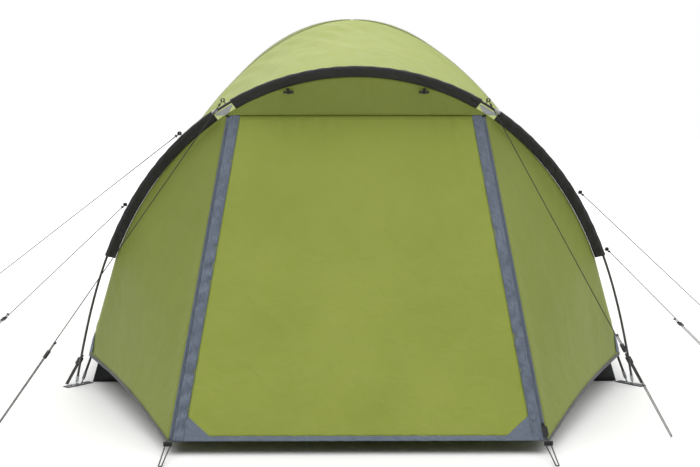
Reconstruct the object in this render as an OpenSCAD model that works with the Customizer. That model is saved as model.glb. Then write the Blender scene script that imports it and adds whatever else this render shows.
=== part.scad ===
// Dome tent with a porch: two crossed main poles, a leaning porch hoop, a fly sheet over them and a
// sleeping cabin hung inside. Millimetres, +Z up. The origin is the middle of the cabin's floor, on the
// ground; the porch is towards -Y. The poles lie as bent rods do, along the curve of an elastic arch.

/* [Main poles] */
// Distance between the main poles' feet across the tent
cabin_w = 1970; // [1900:10:2040]
// Distance between the main poles' feet along the tent
cabin_l = 2120; // [2080:10:2160]
// Height of the main poles' crossing
apex_h = 1250; // [1220:5:1280]
// Outside diameter of a pole
pole_d = 8.5; // [7.9:0.1:9]

/* [Porch hoop] */
// Distance between the hoop's feet
hoop_w = 2000; // [1980:10:2040]
// Distance of the hoop's feet from the tent's middle
hoop_y = 1090; // [1090:5:1120]
// Height of the hoop's top
hoop_h = 1155; // [1130:5:1180]
// How far the hoop's top leans forward of its feet
hoop_lean = 394; // [340:2:420]
// Width of the sleeve's band, from the pole to the fly's seam
band_w = 30; // [28:1:38]

/* [Porch] */
// Distance between the porch's front corners
porch_w = 1166; // [1120:2:1200]
// Distance of the porch's front corners from the hoop's feet
porch_d = 950; // [900:10:1000]
// Height of the porch's bottom edge above the ground
porch_gap = 40; // [30:1:60]
// Width of the door at its top
door_top_w = 776; // [760:2:800]
// Width of the door at its bottom
door_foot_w = 1080; // [980:2:1090]

/* [Fly] */
// Thickness of the fly's cloth solids
cloth_t = 2; // [1.5:0.1:2.5]
// Height of the fly's corners above the ground
fly_corner_h = 102; // [90:2:130]
// How far a hem rises in its middle
hem_rise = 26; // [20:2:50]

/* [Cabin] */
// How far the cabin hangs inside the main poles
cabin_gap = 40; // [36:1:46]
// Height of the groundsheet's wall
tub_h = 140; // [120:5:160]
// Width of the cabin's door
inner_door_w = 860; // [760:10:880]
// Height of the top of the cabin's door
inner_door_top = 840; // [780:10:850]

/* [Guylines] */
// Diameter of a guyline
guy_d = 3; // [2.5:0.1:3.2]
// Length of the doubled part of a guyline
guy_loop = 320; // [280:10:360]
// Distance between a guyline's two runs
guy_pitch = 9; // [8:0.5:10]

/* [Hidden] */
$fn = 32;

// Guylines: where each leaves the hoop, and its peg's place on the ground
GUYS = [
    [[-445, -1445, 1042], [-1170, -1850, 4]],
    [[445, -1445, 1042], [1000, -1850, 4]],
    [[-598, -1407, 931], [-1770, -300, 4]],
    [[-793, -1323, 681], [-1500, -500, 4]],
    [[764, -1337, 724], [1545, -400, 4]],
    [[869, -1267, 518], [1385, -600, 4]]];
// Peg loops on the right: the porch corner's ring, and the cord's ends and far end
RING_AT = [584, -2050, 35];
LOOP_START = [584, -2062, 30];
LOOP_END = [594, -2205, 6];

STEPS = 21;       // steps along half a pole
ROWS = 20;        // steps down a fly panel
COLS = 6;         // steps across a fly panel
MAIN_PARTS = 7;   // lengths that a main pole breaks down to
HOOP_PARTS = 6;   // lengths that the hoop breaks down to
FLY_OFF = 11;     // the fly's inside above a main pole's axis
HEART = [0, -250, 350]; // a point inside, which every cloth faces away from
TIP_LEN = 42;     // length of a pole's end fitting
SLEEVE_IN = 7.6;  // radius of the sleeve's tube inside
SLEEVE_T = 1.2;   // thickness of a sleeve
SEAM_IN = 4;      // how far the roof and the sleeves stop short of the seam
RAD = PI / 180;

GREEN = "#98a34c";
GREEN_SHADE = "#7f883d";
BLUE_GREY = "#6e7a8a";
BLACK = "#2d2d30";
BOUND = "#5e5e64";
STEEL = "silver";
MESH = "#4a4c50";

function unit(v) = v / norm(v);
function mix(a, b, t) = a + (b - a) * t;
function flat(rows) = [for (r = rows) for (p = r) p];

// Bent rods. k is the sine of half the slope at the foot, and phi runs from 0 at the top to 90 there.
function rod_slope(k, phi) = 2 * asin(k * sin(phi));
function rod_step(k, phi) = cos(rod_slope(k, phi)) / sqrt(1 - pow(k * sin(phi), 2));
function rod_table(k, n = 180) = [for (i = 0, x = 0; i <= n;
    x = x + rod_step(k, (i + 0.5) * 90 / n) * 90 / n * RAD, i = i + 1) [i * 90 / n, x]];
function rod_ratio(k) = 2 * k / rod_table(k, 60)[60][1];
function rod_k(ratio, lo = 0.1, hi = 0.8, i = 0) = i == 30 ? (lo + hi) / 2
    : let (m = (lo + hi) / 2) rod_ratio(m) < ratio ? rod_k(ratio, m, hi, i + 1) : rod_k(ratio, lo, m, i + 1);
// [k, table of run by phi, scale] of a rod over a half span
function rod(half, rise) = let (k = rod_k(rise / half), t = rod_table(k)) [k, t, half / t[len(t) - 1][1]];
// [run, rise] of the rod at phi, moved off its axis along its outward normal
function rod_at(r, phi, off = 0) = let (a = rod_slope(r[0], phi))
    [r[2] * lookup(phi, r[1]) + off * sin(a), r[2] * 2 * r[0] * cos(phi) + off * cos(a)];
function phi_at_rise(r, rise) = acos(rise / (2 * r[0] * r[2]));
function phi_at_run(r, run, off) = lookup(run, [for (i = [0:90]) [rod_at(r, i, off)[0], i]]);

MAIN = rod(norm([cabin_w, cabin_l]) / 2, apex_h);
HOOP_RISE = norm([hoop_h, hoop_lean]);
HOOP = rod(hoop_w / 2, HOOP_RISE);
DIAG = unit([cabin_w, cabin_l, 0]);
SIDEWAYS = [DIAG.y, -DIAG.x, 0];
HOOP_UP = [0, -hoop_lean, hoop_h] / HOOP_RISE;
HOOP_FRONT = [0, -hoop_h, -hoop_lean] / HOOP_RISE;

// Points on a quarter of the main poles, and on half of the hoop
function main_at(phi, off, sx, sy) = let (p = rod_at(MAIN, phi, off))
    [sx * p[0] * DIAG.x, sy * p[0] * DIAG.y, p[1]];
function hoop_at(phi, off, sx) = let (p = rod_at(HOOP, phi, off)) [sx * p[0], -hoop_y, 0] + p[1] * HOOP_UP;

// The whole of a pole, from its left foot to its right one
MAIN_PATH = [for (i = [-STEPS:STEPS]) let (p = main_at(abs(i) * 90 / STEPS, 0, 1, 1))
    [sign(i) * p.x, sign(i) * p.y, p.z]];
HOOP_PATH = [for (i = [-STEPS:STEPS]) hoop_at(abs(i) * 90 / STEPS, 0, i < 0 ? -1 : 1)];
CROSSING = pole_d + 2.5; // how far one main pole passes under the other

// The fly's edges. The seam follows the hoop down to the sleeve's end and runs on straight to the corner.
PHI_CORNER = phi_at_rise(MAIN, fly_corner_h);
PHI_SLEEVE = phi_at_rise(HOOP, 500 / hoop_h * HOOP_RISE);
PHI_SHOULDER = phi_at_run(HOOP, 430, -band_w);
FLY_CORNER = main_at(PHI_CORNER, FLY_OFF, 1, -1);
SLEEVE_END = hoop_at(PHI_SLEEVE, -band_w, 1);
SHOULDER = hoop_at(PHI_SHOULDER, -band_w, 1);
PORCH_CORNER = [porch_w / 2, -hoop_y - porch_d, porch_gap];
STRAIGHT = 0.3; // the share of the seam below the sleeve
function seam_at(t, sx, top_phi = 0) = let (p = t < STRAIGHT ? mix(FLY_CORNER, SLEEVE_END, t / STRAIGHT)
    : hoop_at(mix(PHI_SLEEVE, top_phi, (t - STRAIGHT) / (1 - STRAIGHT)), -band_w, 1)) [sx * p.x, p.y, p.z];
function fly_at(t, off, sx, sy) = main_at(PHI_CORNER * (1 - t), off, sx, sy);

// The porch's front plane: [across, up the slope] with its bottom edge at 0. A zip runs up each side of it,
// and between the zips are the door and the flap along each of its edges.
FRONT_LEN = norm(SHOULDER - [SHOULDER.x, PORCH_CORNER.y, PORCH_CORNER.z]);
FRONT_TILT = atan2(SHOULDER.z - PORCH_CORNER.z, SHOULDER.y - PORCH_CORNER.y);
module on_front(lift = 0) translate([0, PORCH_CORNER.y, PORCH_CORNER.z]) rotate([FRONT_TILT, 0, 0])
    translate([0, 0, lift]) children();
ZIP_W = 10;       // width of a zip's tapes and teeth
ZIP_T = 2.4;      // thickness of a zip with its teeth
DOOR_TOP = FRONT_LEN - 4;
HEM_H = 14;
function zip_x(v) = mix(PORCH_CORNER.x, SHOULDER.x, v) - 0.5;
function flap_x(v) = zip_x(v) - ZIP_W - 1;
function door_x(v) = mix(door_foot_w, door_top_w, v) / 2;
DOOR_LOW_X = door_x(HEM_H / DOOR_TOP);
WELT_R = 1.6;     // radius of the welt that a door hangs from

// A tube or band swept along a path; side is a direction that the path never runs in
function frame_at(path, i, side) = let (n = len(path) - 1,
    t = unit(path[min(i + 1, n)] - path[max(i - 1, 0)]), b = unit(cross(t, side))) [cross(b, t), b];
function rings(path, outline, side) = [for (i = [0:len(path) - 1]) let (f = frame_at(path, i, side))
    [for (o = outline) path[i] + o.x * f[0] + o.y * f[1]]];
function skin(rows, cols, first = 0, inward = false) = [for (i = [0:rows - 2], j = [0:cols - 1])
    let (a = first + i * cols + j, b = first + i * cols + (j + 1) % cols)
    inward ? [a, a + cols, b + cols, b] : [a, b, b + cols, a + cols]];
function round_outline(r, n) = [for (j = [0:n - 1]) r * [cos(j * 360 / n), sin(j * 360 / n)]];
module sweep(path, outline, side) {
    n = len(outline);
    last = (len(path) - 1) * n;
    polyhedron(flat(rings(path, outline, side)), concat(skin(len(path), n),
        [[for (j = [n - 1:-1:0]) j]], [[for (j = [0:n - 1]) last + j]]), convexity = 8);
}
// A hollow tube
module pipe(path, r_out, r_in, side, n = 8) {
    rows = len(path);
    half = rows * n;
    last = (rows - 1) * n;
    points = concat(flat(rings(path, round_outline(r_out, n), side)),
        flat(rings(path, round_outline(r_in, n), side)));
    caps = [for (j = [0:n - 1]) let (k = (j + 1) % n) each [[j, half + j, half + k, k],
        [last + j, last + k, half + last + k, half + last + j]]];
    polyhedron(points, concat(skin(rows, n), skin(rows, n, half, true), caps), convexity = 8);
}
// A cloth: a grid of points on its inside, with its outside t further from the heart
module cloth(grid, t = cloth_t) {
    rows = len(grid);
    cols = len(grid[0]);
    low = flat(grid);
    high = [for (p = low) p + t * unit(p - HEART)];
    all = rows * cols;
    rim = concat([for (j = [0:cols - 1]) j], [for (i = [1:rows - 1]) i * cols + cols - 1],
        [for (j = [cols - 2:-1:0]) (rows - 1) * cols + j], [for (i = [rows - 2:-1:1]) i * cols]);
    faces = concat(
        [for (i = [0:rows - 2], j = [0:cols - 2]) let (a = i * cols + j) each [[a, a + 1, a + cols + 1],
            [a, a + cols + 1, a + cols]]],
        [for (i = [0:rows - 2], j = [0:cols - 2]) let (a = all + i * cols + j)
            each [[a, a + cols + 1, a + 1], [a, a + cols, a + cols + 1]]],
        [for (i = [0:len(rim) - 1]) let (a = rim[i], b = rim[(i + 1) % len(rim)]) [b, a, all + a, all + b]]);
    polyhedron(concat(low, high), faces, convexity = 8);
}
// A straight-ruled grid between two edges
function ruled(a, b, cols) = [for (i = [0:len(a) - 1]) [for (j = [0:cols]) mix(a[i], b[i], j / cols)]];
// A thing placed at o with its own X and Y along x and y
module place(o, x, y) {
    z = cross(x, y);
    multmatrix([[x.x, y.x, z.x, o.x], [x.y, y.y, z.y, o.y], [x.z, y.z, z.z, o.z], [0, 0, 0, 1]]) children();
}
module both_sides() { children(); mirror([1, 0, 0]) children(); }
module four_corners() for (s = [0, 1]) mirror([0, s, 0]) both_sides() children();
// Along a line from a to b, with X along it and Y level
module along(a, b) {
    x = unit(b - a);
    place(a, x, unit(cross([0, 0, 1], x))) children();
}

// Poles. A foot's end stops short of the ground, where its tip goes on.
function pole_part(path, parts, i) = let (n = (len(path) - 1) / parts, a = i * n, b = a + n,
    foot = TIP_LEN * 0.6 / norm(path[1] - path[0]))
    [for (j = [a:b]) j == a ? mix(path[j], path[j + 1], i == 0 ? foot : 0.01)
        : j == b ? mix(path[j], path[j - 1], i == parts - 1 ? foot : 0.01) : path[j]];
module pole(path, parts, side) color("#3a3b3d") for (i = [0:parts - 1])
    pipe(pole_part(path, parts, i), pole_d / 2, 2, side);
module swap_main() mirror([1, 0, 0]) children();
module main_pole_left_front() pole(MAIN_PATH, MAIN_PARTS, SIDEWAYS);
module main_pole_right_front() swap_main() pole(LOW_MAIN_PATH, MAIN_PARTS, SIDEWAYS);
module hoop_pole() pole(HOOP_PATH, HOOP_PARTS, HOOP_FRONT);
// The second main pole dips under the first at the crossing
LOW_MAIN_PATH = [for (i = [0:2 * STEPS])
    MAIN_PATH[i] - [0, 0, CROSSING * pow(cos((i - STEPS) * 90 / STEPS), 2)]];

module ferrule_set(path, parts, side) {
    n = (len(path) - 1) / parts;
    for (i = [1:parts - 1]) {
        t = unit(path[i * n + 1] - path[i * n - 1]);
        place(path[i * n], cross(side, t), side) difference() {
            cylinder(r = pole_d / 2 + 2, h = 55, center = true);
            cylinder(r = pole_d / 2 + 1.1, h = 60, center = true);
        }
    }
}
module pole_ferrules() color(STEEL) {
    ferrule_set(MAIN_PATH, MAIN_PARTS, SIDEWAYS);
    swap_main() ferrule_set(LOW_MAIN_PATH, MAIN_PARTS, SIDEWAYS);
    ferrule_set(HOOP_PATH, HOOP_PARTS, HOOP_FRONT);
}
// An end fitting: a collar over the pole and a pin below it
module tip(path, side) {
    up = unit(path[1] - path[0]);
    place(path[0] + 3 * up, cross(side, up), side) {
        cylinder(r = 2.5, h = TIP_LEN * 0.45);
        translate([0, 0, TIP_LEN * 0.4]) difference() {
            cylinder(r = pole_d / 2 + 1.2, h = TIP_LEN * 0.6);
            translate([0, 0, 3]) cylinder(r = pole_d / 2 + 0.5, h = TIP_LEN);
        }
    }
}
module pole_tips() color(STEEL) {
    four_corners() tip(MAIN_PATH, SIDEWAYS);
    both_sides() tip(HOOP_PATH, HOOP_FRONT);
}
module cord_in(path, side) sweep([for (i = [0:len(path) - 1]) i == 0 ? mix(path[0], path[1], 0.3)
    : i == len(path) - 1 ? mix(path[i], path[i - 1], 0.3) : path[i]], round_outline(1.1, 6), side);
module shock_cords() color("white") {
    cord_in(MAIN_PATH, SIDEWAYS);
    swap_main() cord_in(LOW_MAIN_PATH, SIDEWAYS);
    cord_in(HOOP_PATH, HOOP_FRONT);
}

// Sleeves: a folded band, open towards the seam, with the pole in its fold
SLEEVE_OUTLINE = let (r = SLEEVE_IN, t = SLEEVE_T, g = 0.4, foot = band_w - SEAM_IN) concat(
    [[-g - t, foot]], [for (a = [120:30:420]) (r + t) * [cos(a), sin(a)]], [[g + t, foot], [g, foot]],
    [for (a = [420:-30:120]) r * [cos(a), sin(a)]], [[-g, foot]]);
module sleeve(from, to, steps) color(BLACK) sweep([for (i = [0:steps]) let (a = mix(from, to, i / steps))
    hoop_at(abs(a), 0, a < 0 ? -1 : 1)], SLEEVE_OUTLINE, HOOP_FRONT);
PHI_GAP = [phi_at_run(HOOP, 414, 0), phi_at_run(HOOP, 478, 0)];
module sleeve_left() sleeve(-PHI_SLEEVE, -PHI_GAP[1], 14);
module sleeve_brow() sleeve(-PHI_GAP[0], PHI_GAP[0], 18);
module sleeve_right() sleeve(PHI_GAP[1], PHI_SLEEVE, 14);

// Fly panels
T_LIST = [for (i = [0:ROWS]) i == 0 ? 0.012 : i / ROWS];
// From a main pole almost to the hoop's seam
function roof_row(t, sx) = let (a = fly_at(t, FLY_OFF, sx, -1), b = seam_at(t, sx), long = norm(b - a))
    [a, mix(b, a, min(SEAM_IN / long, 0.4))];
module roof_panel() color(GREEN) {
    left = [for (t = T_LIST) roof_row(t, -1)];
    right = [for (i = [ROWS - 1:-1:0]) roof_row(T_LIST[i], 1)];
    both = concat(left, right);
    cloth(ruled([for (p = both) p[0]], [for (p = both) p[1]], COLS));
}
// Rows from the top down, where two edges meet in a point
DOWN = [for (i = [ROWS:-1:0]) i == ROWS ? 1 - 0.3 / ROWS : i / ROWS];
function dome_grid(first, last) = [for (t = DOWN) let (phi = PHI_CORNER * (1 - t),
    a = main_at(phi, FLY_OFF, first[0], first[1]), b = main_at(phi, FLY_OFF, last[0], last[1]))
    [for (j = [0:COLS]) mix(a, b, j / COLS)]];
// The grid with the middle of its last row raised
function arched(grid) = let (n = len(grid) - 1, m = len(grid[0]) - 1) [for (i = [0:n]) [for (j = [0:m])
    grid[i][j] + [0, 0, hem_rise * pow(i / n, 4) * sin(180 * j / m)]]];
SIDE_GRID = arched(dome_grid([-1, -1], [-1, 1]));
REAR_GRID = arched(dome_grid([-1, 1], [1, 1]));
module left_side_panel() color(GREEN_SHADE) cloth(SIDE_GRID);
module right_side_panel() mirror([1, 0, 0]) left_side_panel();
module rear_panel() color(GREEN_SHADE) cloth(REAR_GRID);
PORCH_DOWN = [for (i = [0:ROWS]) i == 0 ? 0.02 : i / ROWS];
PORCH_GRID = arched([for (v = PORCH_DOWN)
    let (a = seam_at(1 - v, 1, PHI_SHOULDER), b = mix(SHOULDER, PORCH_CORNER, v))
    [for (j = [0:COLS]) mix(a, b, j / COLS)]]);
module porch_right_panel() color(GREEN_SHADE) cloth([for (r = PORCH_GRID) [for (j = [COLS:-1:0]) r[j]]]);
module porch_left_panel() mirror([1, 0, 0]) porch_right_panel();
HEADER_COLS = 16;
module porch_header() color(GREEN_SHADE) cloth([for (i = [0:HEADER_COLS])
    let (a = mix(-PHI_SHOULDER, PHI_SHOULDER, i / HEADER_COLS),
        top = hoop_at(abs(a), -band_w, a < 0 ? -1 : 1),
        low = [mix(-SHOULDER.x, SHOULDER.x, i / HEADER_COLS), SHOULDER.y, SHOULDER.z + 1.5])
    i % HEADER_COLS == 0 ? [top + [0, 0, 3], low] : [top, low]]);

// The porch's front: the door with its flaps, hem and corner patches, and the zips beside them
module front_shape(points, t, lift = 0) on_front(lift) linear_extrude(t) polygon(points);
// A corded seam, which a door turns about
module welt(long) rotate([0, 90, 0]) cylinder(r = WELT_R, h = long, center = true);
module right_door_flap() color(BLUE_GREY) front_shape([[flap_x(0), 0], [flap_x(1), DOOR_TOP],
    [door_x(1), DOOR_TOP], [door_x(0), 0]], cloth_t);
module left_door_flap() mirror([1, 0, 0]) right_door_flap();
module porch_door() color(GREEN) {
    front_shape([[-DOOR_LOW_X, HEM_H], [DOOR_LOW_X, HEM_H], [door_x(1), DOOR_TOP], [-door_x(1), DOOR_TOP]],
        cloth_t);
    on_front(cloth_t / 2) translate([0, DOOR_TOP, 0]) welt(door_top_w - 2);
}
module door_hem() color(BLUE_GREY) front_shape([[-door_x(0), 0], [door_x(0), 0], [DOOR_LOW_X, HEM_H],
    [-DOOR_LOW_X, HEM_H]], cloth_t);
PATCH_W = 82;     // width of the patch at a corner of the door
module door_corner_patches() color(BLUE_GREY) both_sides() front_shape([[door_x(0) - 1, 1],
    [door_x(0.075) - 1, 0.075 * FRONT_LEN], [door_x(0) - PATCH_W, HEM_H], [door_x(0) - PATCH_W, 1]],
    1, cloth_t + 0.1);
// A strip along a zip, from this far to that far inside its outer edge
module zip_strip(near, far, t, lift) front_shape([[zip_x(0) - near, 2], [zip_x(1) - near, DOOR_TOP],
    [zip_x(1) - far, DOOR_TOP], [zip_x(0) - far, 2]], t, lift);
module door_zips() color(BLUE_GREY) both_sides() {
    zip_strip(0, ZIP_W, 1, 0);
    zip_strip(3, 7, ZIP_T - 1, 1);
}
// A slider at the zip's foot: a plate over the teeth with a bridge that holds the puller's pin
ZIP_LEAN = atan2(zip_x(0) - zip_x(1), FRONT_LEN); // how far the zip leans from straight up
SLIDER = [8, 12, 2];
SLIDER_V = 0.04;  // how far up the zip the slider rests
PIN = [0, 7, 4.3]; // middle of the puller's pin, on the slider
PIN_R = 0.9;
TAB_R = 8;        // half the width of the puller's tab
module at_zip_foot(lift) on_front(lift) translate([zip_x(SLIDER_V) - ZIP_W / 2, SLIDER_V * FRONT_LEN, 0])
    rotate([0, 0, ZIP_LEAN]) children();
// The right zip's fittings lie outside, and the left one's lie inside
module outside_right() at_zip_foot(ZIP_T + 0.3) children();
module inside_left() mirror([1, 0, 0]) at_zip_foot(-0.3) mirror([0, 0, 1]) children();
module slider() difference() {
    union() {
        translate([-SLIDER.x / 2, 0, 0]) cube(SLIDER);
        translate([-1.5, 2, 1.5]) cube([3, 8, 5]);
    }
    translate(PIN) rotate([0, 90, 0]) cylinder(r = PIN_R + 0.07, h = 20, center = true);
}
module right_zip_slider() color(BLACK) outside_right() slider();
module left_zip_slider() color(BLACK) inside_left() slider();
// The puller: a wire eye through the bridge and an oval tab that hangs beside the flap
module puller(way) {
    translate(PIN) rotate([0, 90, 0]) cylinder(r = PIN_R, h = 7, center = true);
    for (s = [-1, 1]) translate(PIN + [s * 3.1, 0, 0]) rotate([90, 0, 0]) cylinder(r = PIN_R, h = 14);
    translate([way * 2.6, -18, 3.2]) linear_extrude(2.6)
        hull() for (y = [-10, 10]) translate([0, y]) circle(r = TAB_R);
}
module right_zip_puller() color(BLACK) outside_right() puller(1);
module left_zip_puller() color(BLACK) inside_left() puller(-1);

// Reinforcements
module tri_plate(a, b, c, lift, t) {
    p = [a, b, c];
    n = unit(cross(b - a, c - a));
    s = n * (a - HEART) > 0 ? n : -n;
    low = [for (q = p) q + lift * s];
    high = [for (q = low) q + t * s];
    way = n * (a - HEART) > 0;
    polyhedron(concat(low, high), way
        ? [[0, 1, 2], [3, 5, 4], [0, 3, 4, 1], [1, 4, 5, 2], [2, 5, 3, 0]]
        : [[0, 2, 1], [3, 4, 5], [0, 1, 4, 3], [1, 2, 5, 4], [2, 0, 3, 5]]);
}
module shoulder_patches() color("#a9adb2") both_sides() {
    a = hoop_at(PHI_GAP[0] + 0.6, -9, 1);
    b = hoop_at(PHI_GAP[1] - 0.6, -9, 1);
    c = hoop_at((PHI_GAP[0] + PHI_GAP[1]) / 2, SEAM_IN - band_w, 1);
    tri_plate(a, b, c, 0, 1.2);
}
module fly_corner_patches() color(BLUE_GREY) {
    both_sides() tri_plate(mix(FLY_CORNER, SLEEVE_END, 0.03) + [1, -3, 2],
        mix(FLY_CORNER, SLEEVE_END, 0.24) + [1, -3, 0], PORCH_GRID[ROWS - 1][1] + [1, -3, 10], 4.5, 1);
    both_sides() {
        low = main_at(PHI_CORNER, FLY_OFF, 1, 1);
        up = main_at(PHI_CORNER * 0.93, FLY_OFF, 1, 1);
        tri_plate(low + [-4, 2, 4], up + [-8, 2, 0], low + [-90, 2, 22], 4.5, 1);
    }
}
HEM_OUTLINE = [[-2.2, -7], [2.2, -7], [2.2, 6], [-2.2, 6]];
// A binding just under a cloth's last row
module hem(row) sweep([for (p = row) p + [0, 0, -8] + 1 * unit(p - HEART)], HEM_OUTLINE, unit(cross([0, 0, 1],
    row[len(row) - 1] - row[0])));
function ends_in(row, share) = let (n = len(row) - 1)
    [for (i = [0:n]) i == 0 ? mix(row[0], row[1], share) : i == n ? mix(row[n], row[n - 1], share) : row[i]];
module fly_hems() color(BOUND) {
    both_sides() {
        hem(ends_in(PORCH_GRID[ROWS], 0.12));
        mirror([1, 0, 0]) hem(ends_in(SIDE_GRID[ROWS], 0.12));
    }
    hem(ends_in(REAR_GRID[ROWS], 0.12));
}

// Corners: webbing on the ground with eyelets for the pole tips and a peg
R_MAIN = norm([cabin_w, cabin_l]) / 2;
R_HOOP = norm([hoop_w / 2, hoop_y]);
R_PEG = R_HOOP + 26;
EYELET_R = 6;
module on_diagonal(r, z = 0) place(DIAG * r + [0, 0, z], DIAG, [-DIAG.y, DIAG.x, 0]) children();
module corner_webbings() color(BLACK) four_corners() difference() {
    on_diagonal(R_MAIN - 44, 0.5) translate([0, -15, 0]) cube([R_PEG - R_MAIN + 58, 30, 1.8]);
    for (r = [R_MAIN, R_HOOP, R_PEG]) on_diagonal(r, -1) cylinder(r = 8.7, h = 6);
}
module eyelet() difference() {
    cylinder(r = 8.5, h = 2.4);
    translate([0, 0, -1]) cylinder(r = EYELET_R, h = 5);
}
module pole_eyelets() color(STEEL) {
    four_corners() on_diagonal(R_MAIN, 0.2) eyelet();
    both_sides() mirror([0, 1, 0]) on_diagonal(R_HOOP, 0.2) eyelet();
    both_sides() on_diagonal(R_HOOP, 0.2) eyelet();
}
module peg_eyelets() color(STEEL) four_corners() on_diagonal(R_PEG, 0.2) eyelet();
// Straps that pull the fly's corners down, each through a ladder lock
STRAP_OUT = 26; // how far a strap lies beside the poles
STRAP_TOP = main_at(PHI_CORNER, FLY_OFF + 14, 1, 1) + SIDEWAYS * STRAP_OUT + [0, 0, -14];
STRAP_FOOT = DIAG * (R_PEG - 10) + SIDEWAYS * 23 + [0, 0, 5];
module corner_straps() color(BLACK) four_corners() along(STRAP_TOP, STRAP_FOOT)
    translate([0, -7.5, -0.7]) cube([norm(STRAP_FOOT - STRAP_TOP), 15, 1.4]);
module ladder_locks() color(BLACK) four_corners() along(STRAP_TOP, STRAP_FOOT)
    translate([22, 0, 0]) difference() {
    translate([-10, -12, -3]) cube([26, 24, 6]);
    translate([-12, -8, -1.3]) cube([30, 16, 2.6]);
    for (x = [-5, 5]) translate([x, -8, -4]) cube([4, 16, 8]);
}
// Toggles under the brow that hold the rolled door, each in a webbing loop
TOGGLE_PHI = phi_at_run(HOOP, 228, -band_w);
TOGGLE_AT = hoop_at(TOGGLE_PHI, -band_w - 14, 1) + HOOP_FRONT * 14;
module brow_toggles() color(BLACK) both_sides() translate(TOGGLE_AT) rotate([0, 90, 0])
    cylinder(r = 4, h = 34, center = true);
module toggle_loops() color(BLACK) both_sides() {
    translate(TOGGLE_AT) rotate([0, 90, 0]) difference() {
        cylinder(r = 6, h = 10, center = true);
        cylinder(r = 4.6, h = 20, center = true);
    }
    along(TOGGLE_AT, hoop_at(TOGGLE_PHI, -band_w, 1)) translate([5.4, -5, -0.6]) cube([9, 10, 1.2]);
}

// Cabin
module frustum(low, high, z0, z1) hull() {
    translate([-low.x, -low.y, z0]) cube([2 * low.x, 2 * low.y, 0.01]);
    translate([-high.x, -high.y, z1]) cube([2 * high.x, 2 * high.y, 0.01]);
}
module groundsheet() color(BLACK) difference() {
    frustum(TUB_BASE, TUB_TOP, 0, tub_h);
    frustum(TUB_BASE - [TUB_T, TUB_T], TUB_TOP - [TUB_T, TUB_T], 2.5, tub_h + 0.1);
}
PHI_TUB = phi_at_rise(MAIN, tub_h + 12);
TUB_TOP = let (p = main_at(PHI_TUB, -cabin_gap, 1, 1)) [p.x + 4, p.y + 4];
TUB_BASE = TUB_TOP + [38, 42];
TUB_T = 2;        // thickness of the groundsheet's wall
WALL_T = 1.5;
WALL_DOWN = [for (i = [14:-1:0]) i == 14 ? 0.985 : i / 14];
module wall(first, last) cloth([for (t = WALL_DOWN) let (
    phi = PHI_TUB * (1 - t), a = main_at(phi, -cabin_gap, first[0], first[1]),
    b = main_at(phi, -cabin_gap, last[0], last[1]))
    [for (j = [0:2]) mix(a, b, j / 2)]], WALL_T);
module inner_left_wall() color(MESH) wall([-1, -1], [-1, 1]);
module inner_right_wall() color(MESH) mirror([1, 0, 0]) inner_left_wall();
module inner_rear_wall() color(MESH) wall([-1, 1], [1, 1]);
DOOR_LOW = tub_h + 26;
module doorway(inset) translate([0, -200, 0]) rotate([90, 0, 0]) linear_extrude(1000) {
    r = inner_door_w / 2 - inset;
    translate([-r, DOOR_LOW + inset]) square([2 * r, inner_door_top - inner_door_w / 2 - DOOR_LOW - inset]);
    intersection() {
        translate([0, inner_door_top - inner_door_w / 2]) circle(r = r, $fn = 48);
        translate([-r, inner_door_top - inner_door_w / 2 - 1]) square([2 * r, r + 2]);
    }
}
module front_wall_cloth() mirror([0, 1, 0]) mirror([1, 0, 0]) wall([-1, 1], [1, 1]);
module inner_front_wall() color(MESH) difference() { front_wall_cloth(); doorway(0); }
INNER_HINGE = let (p = main_at(phi_at_rise(MAIN, DOOR_LOW + 23), -cabin_gap, 1, 1)) [0, -p.y, p.z];
module inner_door() color(MESH) {
    intersection() { front_wall_cloth(); doorway(5); }
    translate(INNER_HINGE) welt(inner_door_w - 30);
}
// Hooks that hang the cabin from the main poles
CLIP_PHIS = [18, 36, 54, 70];
module clip(path_phi, drop) {
    o = main_at(path_phi, 0, 1, 1) - [0, 0, drop];
    a = rod_slope(MAIN[0], path_phi);
    out = DIAG * sin(a) + [0, 0, cos(a)];
    place(o, out, SIDEWAYS) {
        difference() {
            cylinder(r = pole_d / 2 + 3, h = 12, center = true);
            cylinder(r = pole_d / 2 + 1.1, h = 14, center = true);
            translate([0, -3, -8]) cube([20, 6, 16]);
        }
        foot = -cabin_gap + 3.5 + drop * cos(a);
        translate([foot, -5, -4]) cube([-foot - pole_d / 2 - 2.5, 10, 2]);
    }
}
module cabin_clips() color(BLACK) for (phi = CLIP_PHIS) {
    dip = CROSSING * pow(cos(phi), 2);
    clip(phi, 0);
    mirror([1, 0, 0]) mirror([0, 1, 0]) clip(phi, 0);
    mirror([1, 0, 0]) clip(phi, dip);
    mirror([0, 1, 0]) clip(phi, dip);
}

// Cords. A guyline runs down to its peg's place, round it and back up through the tensioner to a knot.
KNOT_PAST = 45;   // how far past the tensioner's middle a guyline's knot is
// The turn of a cord round a peg's place at b: x points along the cord, and y across it
function turn(b, x, y, r) = [for (w = [-60:30:60]) b - x * r + r * (x * cos(w) + y * sin(w))];
function guy_route(g) = let (a = GUYS[g][0], b = GUYS[g][1], x = unit(b - a), y = unit(cross([0, 0, 1], x)),
    r = guy_pitch / 2)
    concat([for (p = [a, mix(a, b, 0.25), mix(a, b, 0.5), b - x * (guy_loop + 70), b - x * (guy_loop + 40),
        b - x * r]) p - y * r], turn(b, x, y, r),
        [b - x * r + y * r, b - x * guy_loop / 2 + y * r, b - x * (guy_loop + KNOT_PAST) + y * r]);
module guyline(g) color(BLACK) sweep(guy_route(g), round_outline(guy_d / 2, 8),
    cross(unit(GUYS[g][1] - GUYS[g][0]), unit(cross([0, 0, 1], GUYS[g][1] - GUYS[g][0]))));
module guyline_1() guyline(0);
module guyline_2() guyline(1);
module guyline_3() guyline(2);
module guyline_4() guyline(3);
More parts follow.
